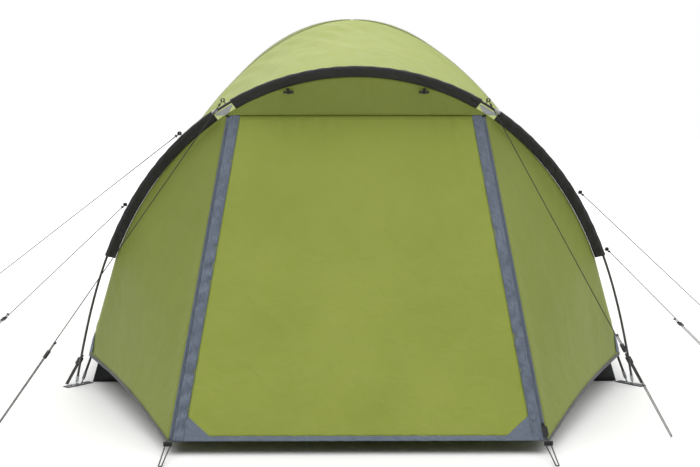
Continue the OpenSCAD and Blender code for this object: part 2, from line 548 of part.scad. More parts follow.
module guyline_5() guyline(4);
module guyline_6() guyline(5);
module tensioner(g) color(BLACK)
    along(GUYS[g][1] - unit(GUYS[g][1] - GUYS[g][0]) * guy_loop, GUYS[g][1]) difference() {
    translate([-15, -guy_pitch / 2 - 5, -3.5]) cube([30, guy_pitch + 10, 7]);
    for (s = [-1, 1]) translate([0, s * guy_pitch / 2, 0]) rotate([0, 90, 0])
        cylinder(r = guy_d / 2 + 0.7, h = 40, center = true);
    translate([-6, -3, -5]) cube([12, 6, 10]);
}
module tensioner_1() tensioner(0);
module tensioner_2() tensioner(1);
module tensioner_3() tensioner(2);
module tensioner_4() tensioner(3);
module tensioner_5() tensioner(4);
module tensioner_6() tensioner(5);
// Webbing loops on the hoop that the guylines leave from
LOOP_R = 5;       // radius of a loop inside
LOOP_T = 1.5;     // thickness of its webbing
LOOP_W = 8;       // width of its webbing
// The hoop's nearest point to p
function hoop_near(p) = let (q = [for (i = [-180:180]) hoop_at(abs(i) / 2, 0, i < 0 ? -1 : 1)],
    far = [for (c = q) norm(c - p)], least = min(far))
    [for (i = [0:len(q) - 1]) if (far[i] == least) q[i]][0];
module guy_loops() color(BLACK) for (g = [0:5]) {
    x = unit(GUYS[g][1] - GUYS[g][0]);
    y = unit(cross([0, 0, 1], x));
    middle = GUYS[g][0] - (LOOP_R + LOOP_T + 1) * x - guy_pitch / 2 * y;
    root = hoop_near(middle);
    start = abs(root.x) < 478 ? pole_d / 2 + 0.6 : SLEEVE_IN + SLEEVE_T + 0.4;
    place(middle, x, y) rotate([90, 0, 0]) difference() {
        cylinder(r = LOOP_R + LOOP_T, h = LOOP_W, center = true);
        cylinder(r = LOOP_R, h = LOOP_W + 2, center = true);
    }
    along(root, middle) translate([start, -LOOP_W / 2, -0.6])
        cube([norm(middle - root) - start - LOOP_R - 0.4, LOOP_W, 1.2]);
}
function loop_route(sx) = let (flip = [[sx, 0, 0], [0, 1, 0], [0, 0, 1]], a = flip * LOOP_START,
    b = flip * LOOP_END, x = unit(b - a), y = unit(cross([0, 0, 1], x)), r = 5)
    concat([a - y * 8, mix(a, b, 0.5) - y * 6, b - x * 12 - y * r], turn(b, x, y, r),
        [b - x * 12 + y * r, mix(a, b, 0.5) + y * 6, a + y * 8]);
module peg_loop(sx) color(BLACK) sweep(loop_route(sx), round_outline(2, 8), [0, 0, 1]);
module peg_loop_left() peg_loop(-1);
module peg_loop_right() peg_loop(1);
// Rings at the porch's corners that the peg loops hang from
module peg_rings() color(BLACK) both_sides() translate(RING_AT) rotate([0, 90, 0]) difference() {
    cylinder(r = 8, h = 26, center = true);
    cylinder(r = 5, h = 30, center = true);
}

main_pole_left_front();
main_pole_right_front();
hoop_pole();
pole_ferrules();
pole_tips();
shock_cords();
sleeve_left();
sleeve_brow();
sleeve_right();
roof_panel();
left_side_panel();
right_side_panel();
rear_panel();
porch_left_panel();
porch_right_panel();
porch_header();
left_door_flap();
right_door_flap();
porch_door();
door_hem();
door_zips();
left_zip_slider();
right_zip_slider();
left_zip_puller();
right_zip_puller();
door_corner_patches();
shoulder_patches();
fly_corner_patches();
fly_hems();
corner_straps();
ladder_locks();
brow_toggles();
toggle_loops();
guy_loops();
groundsheet();
inner_front_wall();
inner_left_wall();
inner_right_wall();
inner_rear_wall();
inner_door();
cabin_clips();
corner_webbings();
pole_eyelets();
peg_eyelets();
peg_loop_left();
peg_loop_right();
peg_rings();
guyline_1();
guyline_2();
guyline_3();
guyline_4();
guyline_5();
guyline_6();
tensioner_1();
tensioner_2();
tensioner_3();
tensioner_4();
tensioner_5();
tensioner_6();
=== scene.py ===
"""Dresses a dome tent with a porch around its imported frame: camera and light, cords, cloth and fittings."""

import logging
import math
from dataclasses import dataclass
from enum import Enum
from functools import cached_property
from typing import Any, Callable, Sequence

import bpy
import numpy as np
from mathutils import Matrix, Vector


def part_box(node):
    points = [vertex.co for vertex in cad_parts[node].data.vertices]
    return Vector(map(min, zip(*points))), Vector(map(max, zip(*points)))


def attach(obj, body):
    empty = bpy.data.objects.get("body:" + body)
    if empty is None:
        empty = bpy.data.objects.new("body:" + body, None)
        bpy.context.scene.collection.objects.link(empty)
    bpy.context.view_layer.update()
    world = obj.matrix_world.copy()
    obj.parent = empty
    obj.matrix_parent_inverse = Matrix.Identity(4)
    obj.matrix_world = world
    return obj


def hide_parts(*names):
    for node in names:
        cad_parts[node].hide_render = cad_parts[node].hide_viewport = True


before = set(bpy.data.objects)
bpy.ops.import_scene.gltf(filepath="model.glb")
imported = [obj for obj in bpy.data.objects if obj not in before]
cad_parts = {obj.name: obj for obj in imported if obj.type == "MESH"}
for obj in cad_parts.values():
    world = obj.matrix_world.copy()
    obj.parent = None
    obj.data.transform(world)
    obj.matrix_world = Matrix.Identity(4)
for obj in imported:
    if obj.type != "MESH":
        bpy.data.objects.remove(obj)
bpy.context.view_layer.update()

LOG = logging.getLogger("tent")
MM = 0.001
Array = np.ndarray


class Slot(Enum):
    """The record's material slots."""

    FLY = "fly_green"
    SHADE = "fly_green_shade"
    TRIM = "trim_grey"
    PATCH = "patch_grey"
    SLEEVE = "sleeve_black"
    BINDING = "hem_binding"
    WEBBING = "webbing"
    ZIP = "zip_grey"
    MOULDED = "black_plastic"
    ROD = "pole_fibreglass"
    STEEL = "pole_steel"
    SHOCK = "shock_cord"
    CORD = "cord_black"
    FLOOR = "groundsheet_black"
    INNER = "inner_mesh"


class Held(Enum):
    """How a sheet of cloth is held."""

    STRETCHED = "stretched"
    HUNG = "hung"
    LAID = "laid"
    FOLDED = "folded"


# Finishes

def linear(code: str) -> tuple[float, float, float, float]:
    """Turns an sRGB hex colour into linear light.

    Args:
        code: Six hex digits after a hash.

    Returns:
        Red, green, blue and an alpha of 1.
    """
    parts = [int(code[i:i + 2], 16) / 255 for i in (1, 3, 5)]
    light = [c / 12.92 if c <= 0.04045 else ((c + 0.055) / 1.055) ** 2.4 for c in parts]
    return light[0], light[1], light[2], 1.0


def add_node(tree: bpy.types.NodeTree, kind: str, inputs: dict | None = None, **settings: Any) -> bpy.types.Node:
    """Adds a node with its settings and links.

    Args:
        tree: The material's nodes.
        kind: The node's type.
        inputs: A value or another node's output for each named or numbered socket.
        **settings: Values for the node's own properties.

    Returns:
        The new node.
    """
    node = tree.nodes.new(kind)
    for key, value in settings.items():
        setattr(node, key, value)
    for key, value in (inputs or {}).items():
        if isinstance(value, bpy.types.NodeSocket):
            tree.links.new(value, node.inputs[key])
        else:
            node.inputs[key].default_value = value
    return node


def blank_material(name: str) -> tuple[bpy.types.Material, bpy.types.NodeTree]:
    """Makes a material with no nodes.

    Args:
        name: The material's name.

    Returns:
        The material and its node tree.
    """
    material = bpy.data.materials.new(name)
    material.use_nodes = True
    material.node_tree.nodes.clear()
    return material, material.node_tree


def tinted(tree: bpy.types.NodeTree, vector: bpy.types.NodeSocket, size: float, dark: str,
           light: str) -> bpy.types.NodeSocket:
    """Cloudy colour between two tones.

    Args:
        tree: The material's nodes.
        vector: The coordinates to read.
        size: Width of a cloud, in metres.
        dark: The darker tone.
        light: The lighter tone.

    Returns:
        The colour's socket.
    """
    clouds = add_node(tree, "ShaderNodeTexNoise", {"Vector": vector, "Scale": 1 / size, "Detail": 4.0})
    mix = add_node(tree, "ShaderNodeMix", {0: clouds.outputs["Fac"], 6: linear(dark), 7: linear(light)},
                   data_type="RGBA")
    return mix.outputs[2]


WAVE_PITCH = 2 * math.pi / 20  # spacing of a Wave texture's bands at scale 1


@dataclass(frozen=True)
class WovenCloth:
    """Coated or plain woven polyester: threads that cross, small crumples and a soft sheen off the yarn."""

    name: str
    dark: str
    light: str
    roughness: float = 0.62
    thread: float = 1.6 * MM  # a real thread is 0.2 mm; drawn coarser so that the weave shows
    weave: float = 0.25
    crumple: float = 60 * MM
    crumple_depth: float = 0.35
    sheen: float = 0.03
    see_through: float = 0.0

    @cached_property
    def material(self) -> bpy.types.Material:
        """The cloth's material."""
        material, tree = blank_material(self.name)
        own = add_node(tree, "ShaderNodeTexCoord")
        uv, place = own.outputs["UV"], own.outputs["Object"]
        colour = tinted(tree, place, 0.28, self.dark, self.light)
        bands = [add_node(tree, "ShaderNodeTexWave", {"Vector": uv, "Scale": WAVE_PITCH / self.thread},
                          bands_direction=way) for way in ("X", "Y")]
        threads = add_node(tree, "ShaderNodeMath", {0: bands[0].outputs["Fac"], 1: bands[1].outputs["Fac"]},
                           operation="MULTIPLY")
        folds = add_node(tree, "ShaderNodeTexNoise", {"Vector": uv, "Scale": 1 / self.crumple, "Detail": 5.0,
                                                      "Roughness": 0.55, "Distortion": 0.6})
        deep = add_node(tree, "ShaderNodeBump", {"Height": folds.outputs["Fac"], "Strength": self.crumple_depth,
                                                 "Distance": 0.012})
        fine = add_node(tree, "ShaderNodeBump", {"Height": threads.outputs[0], "Strength": self.weave,
                                                 "Distance": 0.0004, "Normal": deep.outputs["Normal"]})
        shade = add_node(tree, "ShaderNodeMapRange", {"Value": folds.outputs["Fac"], "From Min": 0.3, "From Max": 0.7,
                                                      "To Min": self.roughness + 0.05,
                                                      "To Max": self.roughness - 0.05})
        cloth = add_node(tree, "ShaderNodeBsdfPrincipled", {
            "Base Color": colour, "Roughness": shade.outputs[0], "IOR": 1.5, "Sheen Weight": self.sheen,
            "Sheen Roughness": 0.4, "Normal": fine.outputs["Normal"]})
        surface = cloth.outputs[0]
        if self.see_through:
            glow = add_node(tree, "ShaderNodeBsdfTranslucent", {"Color": colour, "Normal": fine.outputs["Normal"]})
            surface = add_node(tree, "ShaderNodeMixShader", {0: self.see_through, 1: surface,
                                                             2: glow.outputs[0]}).outputs[0]
        add_node(tree, "ShaderNodeOutputMaterial", {"Surface": surface})
        return material


@dataclass(frozen=True)
class Braid:
    """Braided or woven narrow goods: slanting strands with painted shade in the gaps between them."""

    name: str
    dark: str
    light: str
    strand: float = 1.5 * MM
    roughness: float = 0.75

    @cached_property
    def material(self) -> bpy.types.Material:
        """The braid's material."""
        material, tree = blank_material(self.name)
        place = add_node(tree, "ShaderNodeTexCoord").outputs["Object"]
        strands = [add_node(tree, "ShaderNodeTexWave", {"Vector": place, "Scale": WAVE_PITCH / self.strand,
                                                        "Distortion": 0.4}, bands_direction=way)
                   for way in ("DIAGONAL", "Z")]
        knit = add_node(tree, "ShaderNodeMath", {0: strands[0].outputs["Fac"], 1: strands[1].outputs["Fac"]},
                        operation="MULTIPLY")
        # The colour darkens where the strands part: painted shade in the gaps
        colour = add_node(tree, "ShaderNodeMix", {0: knit.outputs[0], 6: linear(self.dark), 7: linear(self.light)},
                          data_type="RGBA")
        raised = add_node(tree, "ShaderNodeBump", {"Height": knit.outputs[0], "Strength": 0.5, "Distance": 0.0006})
        yarn = add_node(tree, "ShaderNodeBsdfPrincipled", {
            "Base Color": colour.outputs[2], "Roughness": self.roughness, "Sheen Weight": 0.2,
            "Normal": raised.outputs["Normal"]})
        add_node(tree, "ShaderNodeOutputMaterial", {"Surface": yarn.outputs[0]})
        return material


@dataclass(frozen=True)
class Hard:
    """Moulded plastic, drawn metal or a pultruded rod: fine grain, faint scuffs and an even gloss."""

    name: str
    dark: str
    light: str
    roughness: float
    metallic: float = 0.0
    grain: float = 0.8 * MM
    stretch: float = 1.0  # how much longer than wide the grain is, along the height
    depth: float = 0.15

    @cached_property
    def material(self) -> bpy.types.Material:
        """The hard surface's material."""
        material, tree = blank_material(self.name)
        place = add_node(tree, "ShaderNodeTexCoord").outputs["Object"]
        drawn = add_node(tree, "ShaderNodeMapping", {"Vector": place, "Scale": (1.0, 1.0, 1 / self.stretch)})
        grain = add_node(tree, "ShaderNodeTexNoise", {"Vector": drawn.outputs[0], "Scale": 1 / self.grain,
                                                      "Detail": 3.0})
        scuffs = add_node(tree, "ShaderNodeTexNoise", {"Vector": drawn.outputs[0], "Scale": 1 / (18 * MM),
                                                       "Detail": 6.0, "Roughness": 0.7})
        colour = add_node(tree, "ShaderNodeMix", {0: scuffs.outputs["Fac"], 6: linear(self.dark),
                                                  7: linear(self.light)}, data_type="RGBA")
        rough = add_node(tree, "ShaderNodeMapRange", {"Value": scuffs.outputs["Fac"], "From Min": 0.3,
                                                      "From Max": 0.7, "To Min": self.roughness - 0.06,
                                                      "To Max": self.roughness + 0.1})
        raised = add_node(tree, "ShaderNodeBump", {"Height": grain.outputs["Fac"], "Strength": self.depth,
                                                   "Distance": 0.0003})
        body = add_node(tree, "ShaderNodeBsdfPrincipled", {
            "Base Color": colour.outputs[2], "Roughness": rough.outputs[0], "Metallic": self.metallic,
            "Normal": raised.outputs["Normal"]})
        add_node(tree, "ShaderNodeOutputMaterial", {"Surface": body.outputs[0]})
        return material


# Coated taffeta: close weave, slight sheen, lets a little light through
FLY_CLOTH = WovenCloth("coated_taffeta_green", "#8c9a33", "#a0ab45", see_through=0.06)
# The same taffeta made darker: painted shade on the panels that hang steeply, on the header under the brow and on the
# pole seams
PAINTED_SHADE_TAFFETA = WovenCloth("coated_taffeta_painted_shade_green", "#7d8a34", "#8b963f", see_through=0.08)
# Oxford cloth of the door's flaps and hems: coarser yarn, crumples easily
TRIM_CLOTH = WovenCloth("oxford_blue_grey", "#616c7c", "#727d8c", thread=2 * MM, weave=0.4, crumple=22 * MM,
                        crumple_depth=0.6)
# Light grey oxford cloth that reinforces the shoulders
PATCH_CLOTH = WovenCloth("oxford_light_grey", "#a3a7ab", "#b6babd", thread=2 * MM, weave=0.4, crumple=25 * MM)
# Black oxford cloth of the pole sleeves: dull and closely woven
SLEEVE_CLOTH = WovenCloth("oxford_black", "#151516", "#202022", roughness=0.55, thread=2 * MM, weave=0.4,
                          crumple=30 * MM, crumple_depth=0.5, sheen=0.03)
# Folded binding tape along the hems
BINDING_TAPE = WovenCloth("binding_tape_grey", "#4b4c51", "#5a5b61", thread=2 * MM, weave=0.5, crumple=30 * MM)
# Woven polyethylene sheet: flat tapes with a waxy gloss
GROUND_CLOTH = WovenCloth("woven_polyethylene", "#17181a", "#232427", roughness=0.42, thread=2.5 * MM, weave=0.6,
                          crumple=90 * MM, crumple_depth=0.5, sheen=0.0)
# Breathable uncoated polyester of the cabin
INNER_CLOTH = WovenCloth("breathable_polyester", "#c9cbc0", "#dcddd2", roughness=0.8, crumple=120 * MM,
                         see_through=0.3)
# Black polypropylene webbing with a ribbed weave
WEBBING = Braid("ribbed_webbing", "#0c0c0d", "#26262a", strand=2.2 * MM)
# Braided guyline and peg loop cord
CORD_BRAID = Braid("braided_cord", "#131314", "#333336")
# White braided cover of the shock cord
SHOCK_BRAID = Braid("braided_shock_cord", "#b5b5b2", "#e6e6e2", strand=1.2 * MM)
# Coil zip on a grey tape
ZIP_COIL = Hard("coil_zip_polyester", "#555d68", "#6d7682", roughness=0.45)
# Acetal fittings, moulded with a fine spark finish
ACETAL = Hard("moulded_acetal_black", "#0f0f10", "#1d1d1f", roughness=0.38)
# Pultruded rod: resin over long glass strands
FIBREGLASS = Hard("pultruded_fibreglass", "#242527", "#37383b", roughness=0.3, stretch=20)
# Drawn steel tube with a zinc plate: soft reflections, draw marks along the tube
ZINC_STEEL = Hard("zinc_plated_steel", "#8d8f92", "#b9bbbe", roughness=0.32, metallic=1.0, stretch=12)
# Thread of the seams, a shade darker than the cloth it sews
GREEN_THREAD = Hard("green_thread", "#5f6a28", "#6d7830", roughness=0.7)
GREY_THREAD = Hard("grey_thread", "#4c5560", "#5a636f", roughness=0.7)


# Bent rods and the pitched tent's lines

@dataclass(frozen=True)
class BentRod:
    """A springy rod bent between its feet, which lies along an elastic arch.

    Its phi runs from 0 at the top to 90 at a foot.
    """

    half_span: float
    rise: float

    STEPS = 720

    @staticmethod
    def _runs(bend: float) -> Array:
        """Distance across for each step of phi, for a rod of unit scale."""
        phi = (np.arange(BentRod.STEPS) + 0.5) * math.pi / 2 / BentRod.STEPS
        slope = 2 * np.arcsin(bend * np.sin(phi))
        step = np.cos(slope) / np.sqrt(1 - (bend * np.sin(phi)) ** 2)
        return np.concatenate([[0.0], np.cumsum(step) * math.pi / 2 / BentRod.STEPS])

    @cached_property
    def bend(self) -> float:
        """Sine of half the slope at a foot, found by halving the range that holds it."""
        low, high = 0.1, 0.8
        for _ in range(40):
            middle = (low + high) / 2
            if 2 * middle / self._runs(middle)[-1] < self.rise / self.half_span:
                low = middle
            else:
                high = middle
        return low

    @cached_property
    def table(self) -> Array:
        """Distance across for each step of phi."""
        runs = self._runs(self.bend)
        return runs * self.half_span / runs[-1]

    def at(self, phi: Array, off: Array | float = 0.0) -> tuple[Array, Array]:
        """Points along the rod, or beside it.

        Args:
            phi: Places along the rod, in degrees.
            off: Distance outwards from the rod's axis.

        Returns:
            Distance across from the middle, and height.
        """
        slope = 2 * np.arcsin(self.bend * np.sin(np.radians(phi)))
        across = np.interp(phi, np.linspace(0, 90, self.STEPS + 1), self.table)
        scale = self.rise / (2 * self.bend)
        return across + off * np.sin(slope), scale * 2 * self.bend * np.cos(np.radians(phi)) + off * np.cos(slope)

    def phi_at_rise(self, rise: float) -> float:
        """The phi at a height above the feet."""
        return math.degrees(math.acos(rise / self.rise))

    def phi_at_run(self, run: float, off: float) -> float:
        """The phi at a distance across, off the rod's axis."""
        phis = np.linspace(0, 90, 181)
        return float(np.interp(run, self.at(phis, off)[0], phis))


def mix(a: Array, b: Array, share: Array | float) -> Array:
    """The point a share of the way from a to b."""
    return np.asarray(a) + (np.asarray(b) - np.asarray(a)) * share


def unit(v: Array) -> Array:
    """The vector, or each row of vectors, at length 1."""
    v = np.asarray(v, float)
    return v / np.maximum(np.linalg.norm(v, axis=-1, keepdims=True), 1e-12)


@dataclass(frozen=True)
class Pitch:
    """The pitched tent's lines: its poles, its seams and the plane of its porch door."""

    cabin_w: float = 1.970
    cabin_l: float = 2.120
    apex_h: float = 1.250
    hoop_w: float = 2.000
    hoop_y: float = 1.090
    hoop_h: float = 1.155
    hoop_lean: float = 0.394
    band_w: float = 0.030
    porch_w: float = 1.166
    porch_d: float = 0.950
    porch_gap: float = 0.040
    door_top_w: float = 0.776
    door_foot_w: float = 1.080
    fly_off: float = 0.012
    fly_corner_h: float = 0.102
    hem_rise: float = 0.026
    hem_h: float = 0.014
    zip_w: float = 0.010
    cabin_gap: float = 0.040
    tub_h: float = 0.140
    sleeve_end_h: float = 0.500
    shoulder_x: float = 0.430
    straight: float = 0.3  # share of the hoop seam below the sleeve

    @cached_property
    def main(self) -> BentRod:
        """A main pole."""
        return BentRod(math.hypot(self.cabin_w, self.cabin_l) / 2, self.apex_h)

    @cached_property
    def hoop_rise(self) -> float:
        """The hoop's height along its own leaning plane."""
        return math.hypot(self.hoop_h, self.hoop_lean)

    @cached_property
    def hoop(self) -> BentRod:
        """The porch hoop."""
        return BentRod(self.hoop_w / 2, self.hoop_rise)

    @cached_property
    def diagonal(self) -> Array:
        """Direction of the right rear main pole arm, seen from above."""
        return unit(np.array([self.cabin_w, self.cabin_l, 0.0]))

    @cached_property
    def hoop_up(self) -> Array:
        """Direction up the hoop's plane."""
        return np.array([0.0, -self.hoop_lean, self.hoop_h]) / self.hoop_rise

    @cached_property
    def hoop_front(self) -> Array:
        """Direction out of the hoop's plane, to the front."""
        return np.array([0.0, -self.hoop_h, -self.hoop_lean]) / self.hoop_rise

    def main_at(self, phi: Array, off: Array | float, sx: int, sy: int) -> Array:
        """Points on a quarter of the main poles."""
        run, rise = self.main.at(np.asarray(phi, float), off)
        return np.stack([sx * run * self.diagonal[0], sy * run * self.diagonal[1], rise + 0 * run], axis=-1)

    def hoop_at(self, phi: Array, off: Array | float = 0.0) -> Array:
        """Points on the hoop; phi is below 0 on the left."""
        phi = np.asarray(phi, float)
        run, rise = self.hoop.at(np.abs(phi), off)
        foot = np.stack([np.where(phi < 0, -run, run), -self.hoop_y + 0 * run, 0 * run], axis=-1)
        return foot + rise[..., None] * self.hoop_up

    @cached_property
    def phi_corner(self) -> float:
        """Where the fly ends on a main pole."""
        return self.main.phi_at_rise(self.fly_corner_h)

    @cached_property
    def phi_sleeve(self) -> float:
        """Where the sleeve ends on the hoop."""
        return self.hoop.phi_at_rise(self.sleeve_end_h / self.hoop_h * self.hoop_rise)

    @cached_property
    def phi_shoulder(self) -> float:
        """Where the door's side line meets the hoop."""
        return self.hoop.phi_at_run(self.shoulder_x, -self.band_w)

    @cached_property
    def phi_tub(self) -> float:
        """Where the cabin's walls start on a main pole."""
        return self.main.phi_at_rise(self.tub_h + 0.012)

    @cached_property
    def fly_corner(self) -> Array:
        """The fly's front corner on the right."""
        return self.main_at(self.phi_corner, self.fly_off, 1, -1)

    @cached_property
    def sleeve_end(self) -> Array:
        """The seam at the right sleeve's end."""
        return self.hoop_at(self.phi_sleeve, -self.band_w)

    @cached_property
    def shoulder(self) -> Array:
        """The seam at the top of the door's right side line."""
        return self.hoop_at(self.phi_shoulder, -self.band_w)

    @cached_property
    def porch_corner(self) -> Array:
        """The porch's right front corner."""
        return np.array([self.porch_w / 2, -self.hoop_y - self.porch_d, self.porch_gap])

    def seam_at(self, t: float, top_phi: float = 0.0) -> Array:
        """A point on the hoop's seam on the right, from the fly's corner at 0 to the top at 1."""
        if t < self.straight:
            return mix(self.fly_corner, self.sleeve_end, t / self.straight)
        share = (t - self.straight) / (1 - self.straight)
        return self.hoop_at(self.phi_sleeve + (top_phi - self.phi_sleeve) * share, -self.band_w)

    @cached_property
    def front_len(self) -> float:
        """Length of the porch's front plane, up its slope."""
        rise = self.shoulder - self.porch_corner
        return math.hypot(rise[1], rise[2])

    @cached_property
    def front_up(self) -> Array:
        """Direction up the front plane."""
        rise = self.shoulder - self.porch_corner
        return np.array([0.0, rise[1], rise[2]]) / self.front_len

    @cached_property
    def front_out(self) -> Array:
        """Direction out of the front plane."""
        return np.array([0.0, -self.front_up[2], self.front_up[1]])

    def front(self, across: Array, up: Array, lift: Array | float = 0.0) -> Array:
        """Points on or over the front plane.

        Args:
            across: Distance to the right of the middle.
            up: Distance up the slope.
            lift: Distance out of the plane.

        Returns:
            The points.
        """
        across, up, lift = np.broadcast_arrays(np.asarray(across, float), up, lift)
        foot = np.stack([across, 0 * across + self.porch_corner[1], 0 * across + self.porch_corner[2]], axis=-1)
        return foot + up[..., None] * self.front_up + lift[..., None] * self.front_out

    @property
    def door_top(self) -> float:
        """How far up the front plane the door reaches."""
        return self.front_len - 0.004

    def zip_x(self, v: Array) -> Array:
        """Outer edge of a zip, by the share of the way up."""
        return mix(self.porch_corner[0], self.shoulder[0], v) - 0.0005

    def flap_x(self, v: Array) -> Array:
        """Outer edge of the door's flap."""
        return self.zip_x(v) - self.zip_w - 0.001

    def door_x(self, v: Array) -> Array:
        """Outer edge of the door's green cloth."""
        return mix(self.door_foot_w, self.door_top_w, v) / 2


PITCH = Pitch()
HEART = np.array([0.0, -0.25, 0.35])  # a point inside, which every cloth faces away from
SIDES = ((-1, "left"), (1, "right"))


# Modelling

def deselect() -> None:
    """Leaves nothing selected."""
    if bpy.context.object and bpy.context.object.mode != "OBJECT":
        bpy.ops.object.mode_set(mode="OBJECT")
    bpy.ops.object.select_all(action="DESELECT")


def choose(piece: bpy.types.Object) -> None:
    """Makes one object the only one selected, and active."""
    deselect()
    piece.select_set(True)
    bpy.context.view_layer.objects.active = piece


def settle_place(piece: bpy.types.Object) -> None:
    """Moves a piece's place, turn and size into its mesh."""
    choose(piece)
    bpy.ops.object.transform_apply(location=True, rotation=True, scale=True)


def apply_modifiers(piece: bpy.types.Object) -> None:
    """Applies each of a piece's modifiers in order."""
    choose(piece)
    for name in [m.name for m in piece.modifiers]:
        bpy.ops.object.modifier_apply(modifier=name)


def piece_from(name: str, points: Array, faces: Sequence[Sequence[int]], uvs: Array | None = None) -> bpy.types.Object:
    """Makes a smooth mesh piece.

    Args:
        name: The piece's name.
        points: Its vertices.
        faces: Vertex numbers of each face.
        uvs: A pattern coordinate in metres for each vertex.

    Returns:
        The new object, at the origin.
    """
    mesh = bpy.data.meshes.new(name)
    mesh.from_pydata([tuple(p) for p in points], [], [tuple(f) for f in faces])
    if uvs is not None:
        layer = mesh.uv_layers.new(name="cloth")
        corner = np.empty(len(mesh.loops), np.int32)
        mesh.loops.foreach_get("vertex_index", corner)
        layer.data.foreach_set("uv", np.asarray(uvs, np.float32)[corner].ravel())
    mesh.polygons.foreach_set("use_smooth", np.ones(len(mesh.polygons), bool))
    piece = bpy.data.objects.new(name, mesh)
    bpy.context.scene.collection.objects.link(piece)
    return piece


def dress(piece: bpy.types.Object, finish: Any, body: str = "tent",
          nodes: Sequence[str] = ()) -> bpy.types.Object:
    """Gives a piece its finish, body and CAD nodes.

    Args:
        piece: The piece.
        finish: The finish, which has a material.
        body: The body that it moves with.
        nodes: The CAD nodes that it stands for.

    Returns:
        The same piece.
    """
    piece.data.materials.clear()
    piece.data.materials.append(finish.material)
    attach(piece, body)
    if nodes:
        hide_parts(*nodes)
    LOG.info("%s: %s, on %s", piece.name, finish.name, body)
    return piece


def ripples(u: Array, v: Array, across: float, along: float, seed: int) -> Array:
    """Smooth folds from a seeded sum of waves.

    Args:
        u: Coordinate across the folds, in metres.
        v: Coordinate along the folds, in metres.
        across: Spacing of the folds.
        along: How far a fold runs.
        seed: Picks the pattern.

    Returns:
        A height for each point, mostly from -1 to 1.
    """
    draw = np.random.default_rng(seed)
    total = np.zeros(np.broadcast(u, v).shape)
    for _ in range(8):
        a, b = draw.uniform(0.6, 1.6), draw.uniform(-1.2, 1.2)
        total = total + np.sin(2 * math.pi * (a * u / across + b * v / along) + draw.uniform(0, 6.28))
    return total / 2.6


def creases(u: Array, v: Array, across: float, along: float, seed: int) -> Array:
    """Narrow ridges where the folds of a pattern cross zero, from 0 to 1."""
    return np.exp(-(ripples(u, v, across, along, seed) / 0.22) ** 2)


def lengths(grid: Array) -> Array:
    """Cloth coordinates of a grid of points: the lengths along its columns and its rows, in metres."""
    across = np.zeros(grid.shape[:2])
    along = np.zeros(grid.shape[:2])
    across[:, 1:] = np.cumsum(np.linalg.norm(np.diff(grid, axis=1), axis=2), axis=1)
    along[1:] = np.cumsum(np.linalg.norm(np.diff(grid, axis=0), axis=2), axis=0)
    across -= across[:, -1:] / 2
    return np.stack([across, along], axis=-1)


def normals_of(grid: Array) -> Array:
    """Outward directions of a grid of points."""
    a = np.gradient(grid, axis=0)
    b = np.gradient(grid, axis=1)
    normal = unit(np.cross(a, b))
    flat = normal.reshape(-1, 3) * np.sign(((grid - HEART) * normal).sum(-1).mean() or 1)
    return flat.reshape(grid.shape)


def edge_fade(shape: tuple[int, int], rows: float = 0.15, cols: float = 0.15) -> Array:
    """A mask that is 0 on a grid's edges and 1 inside.

    Args:
        shape: Rows and columns.
        rows: Share of the rows over which it fades, or 0.
        cols: Share of the columns over which it fades, or 0.

    Returns:
        The mask.
    """
    def ramp(count: int, share: float) -> Array:
        place = np.linspace(0, 1, count)
        if not share:
            return np.ones(count)
        near = np.clip(np.minimum(place, 1 - place) / share, 0, 1)
        return near * near * (3 - 2 * near)
    return ramp(shape[0], rows)[:, None] * ramp(shape[1], cols)[None, :]


@dataclass
class Sheet:
    """A panel of cloth on a grid of points."""

    name: str
    grid: Array
    thickness: float = 0.6 * MM

    @property
    def cloth(self) -> Array:
        """Its cloth coordinates, in metres."""
        return lengths(self.grid)

    def push(self, height: Callable[[Array, Array], Array], mask: Array | float = 1.0) -> "Sheet":
        """Moves the points outwards.

        Args:
            height: Gives the distance from the cloth coordinates.
            mask: Share of it at each point.

        Returns:
            The same sheet.
        """
        flat = self.cloth
        self.grid = self.grid + normals_of(self.grid) * (height(flat[..., 0], flat[..., 1]) * mask)[..., None]
        return self

    def build(self, finish: Any, slot: Slot, nodes: Sequence[str], held: Held, body: str = "tent",
              rests_on: Sequence[str] = ()) -> bpy.types.Object:
        """Args:
            finish: The finish.
            slot: The record's material slot; not used.
            nodes: The CAD nodes that it stands for.
            held: How it is held; not used.
            body: The body that it moves with.
            rests_on: What it hangs from or lies on; not used.

        Returns:
            The new piece.
        """
        rows, cols = self.grid.shape[:2]
        flat = self.cloth
        outward = (np.cross(np.gradient(self.grid, axis=0), np.gradient(self.grid, axis=1))
                   * (self.grid - HEART)).sum(-1).mean() > 0
        faces = []
        for i in range(rows - 1):
            for j in range(cols - 1):
                a = i * cols + j
                ring = (a, a + cols, a + cols + 1, a + 1)
                faces.append(ring if outward else ring[::-1])
        piece = piece_from(self.name, self.grid.reshape(-1, 3), faces, flat.reshape(-1, 2))
        thick = piece.modifiers.new("thickness", "SOLIDIFY")
        thick.thickness = self.thickness
        thick.offset = 0.0
        apply_modifiers(piece)
        dress(piece, finish, body, nodes)
        return piece


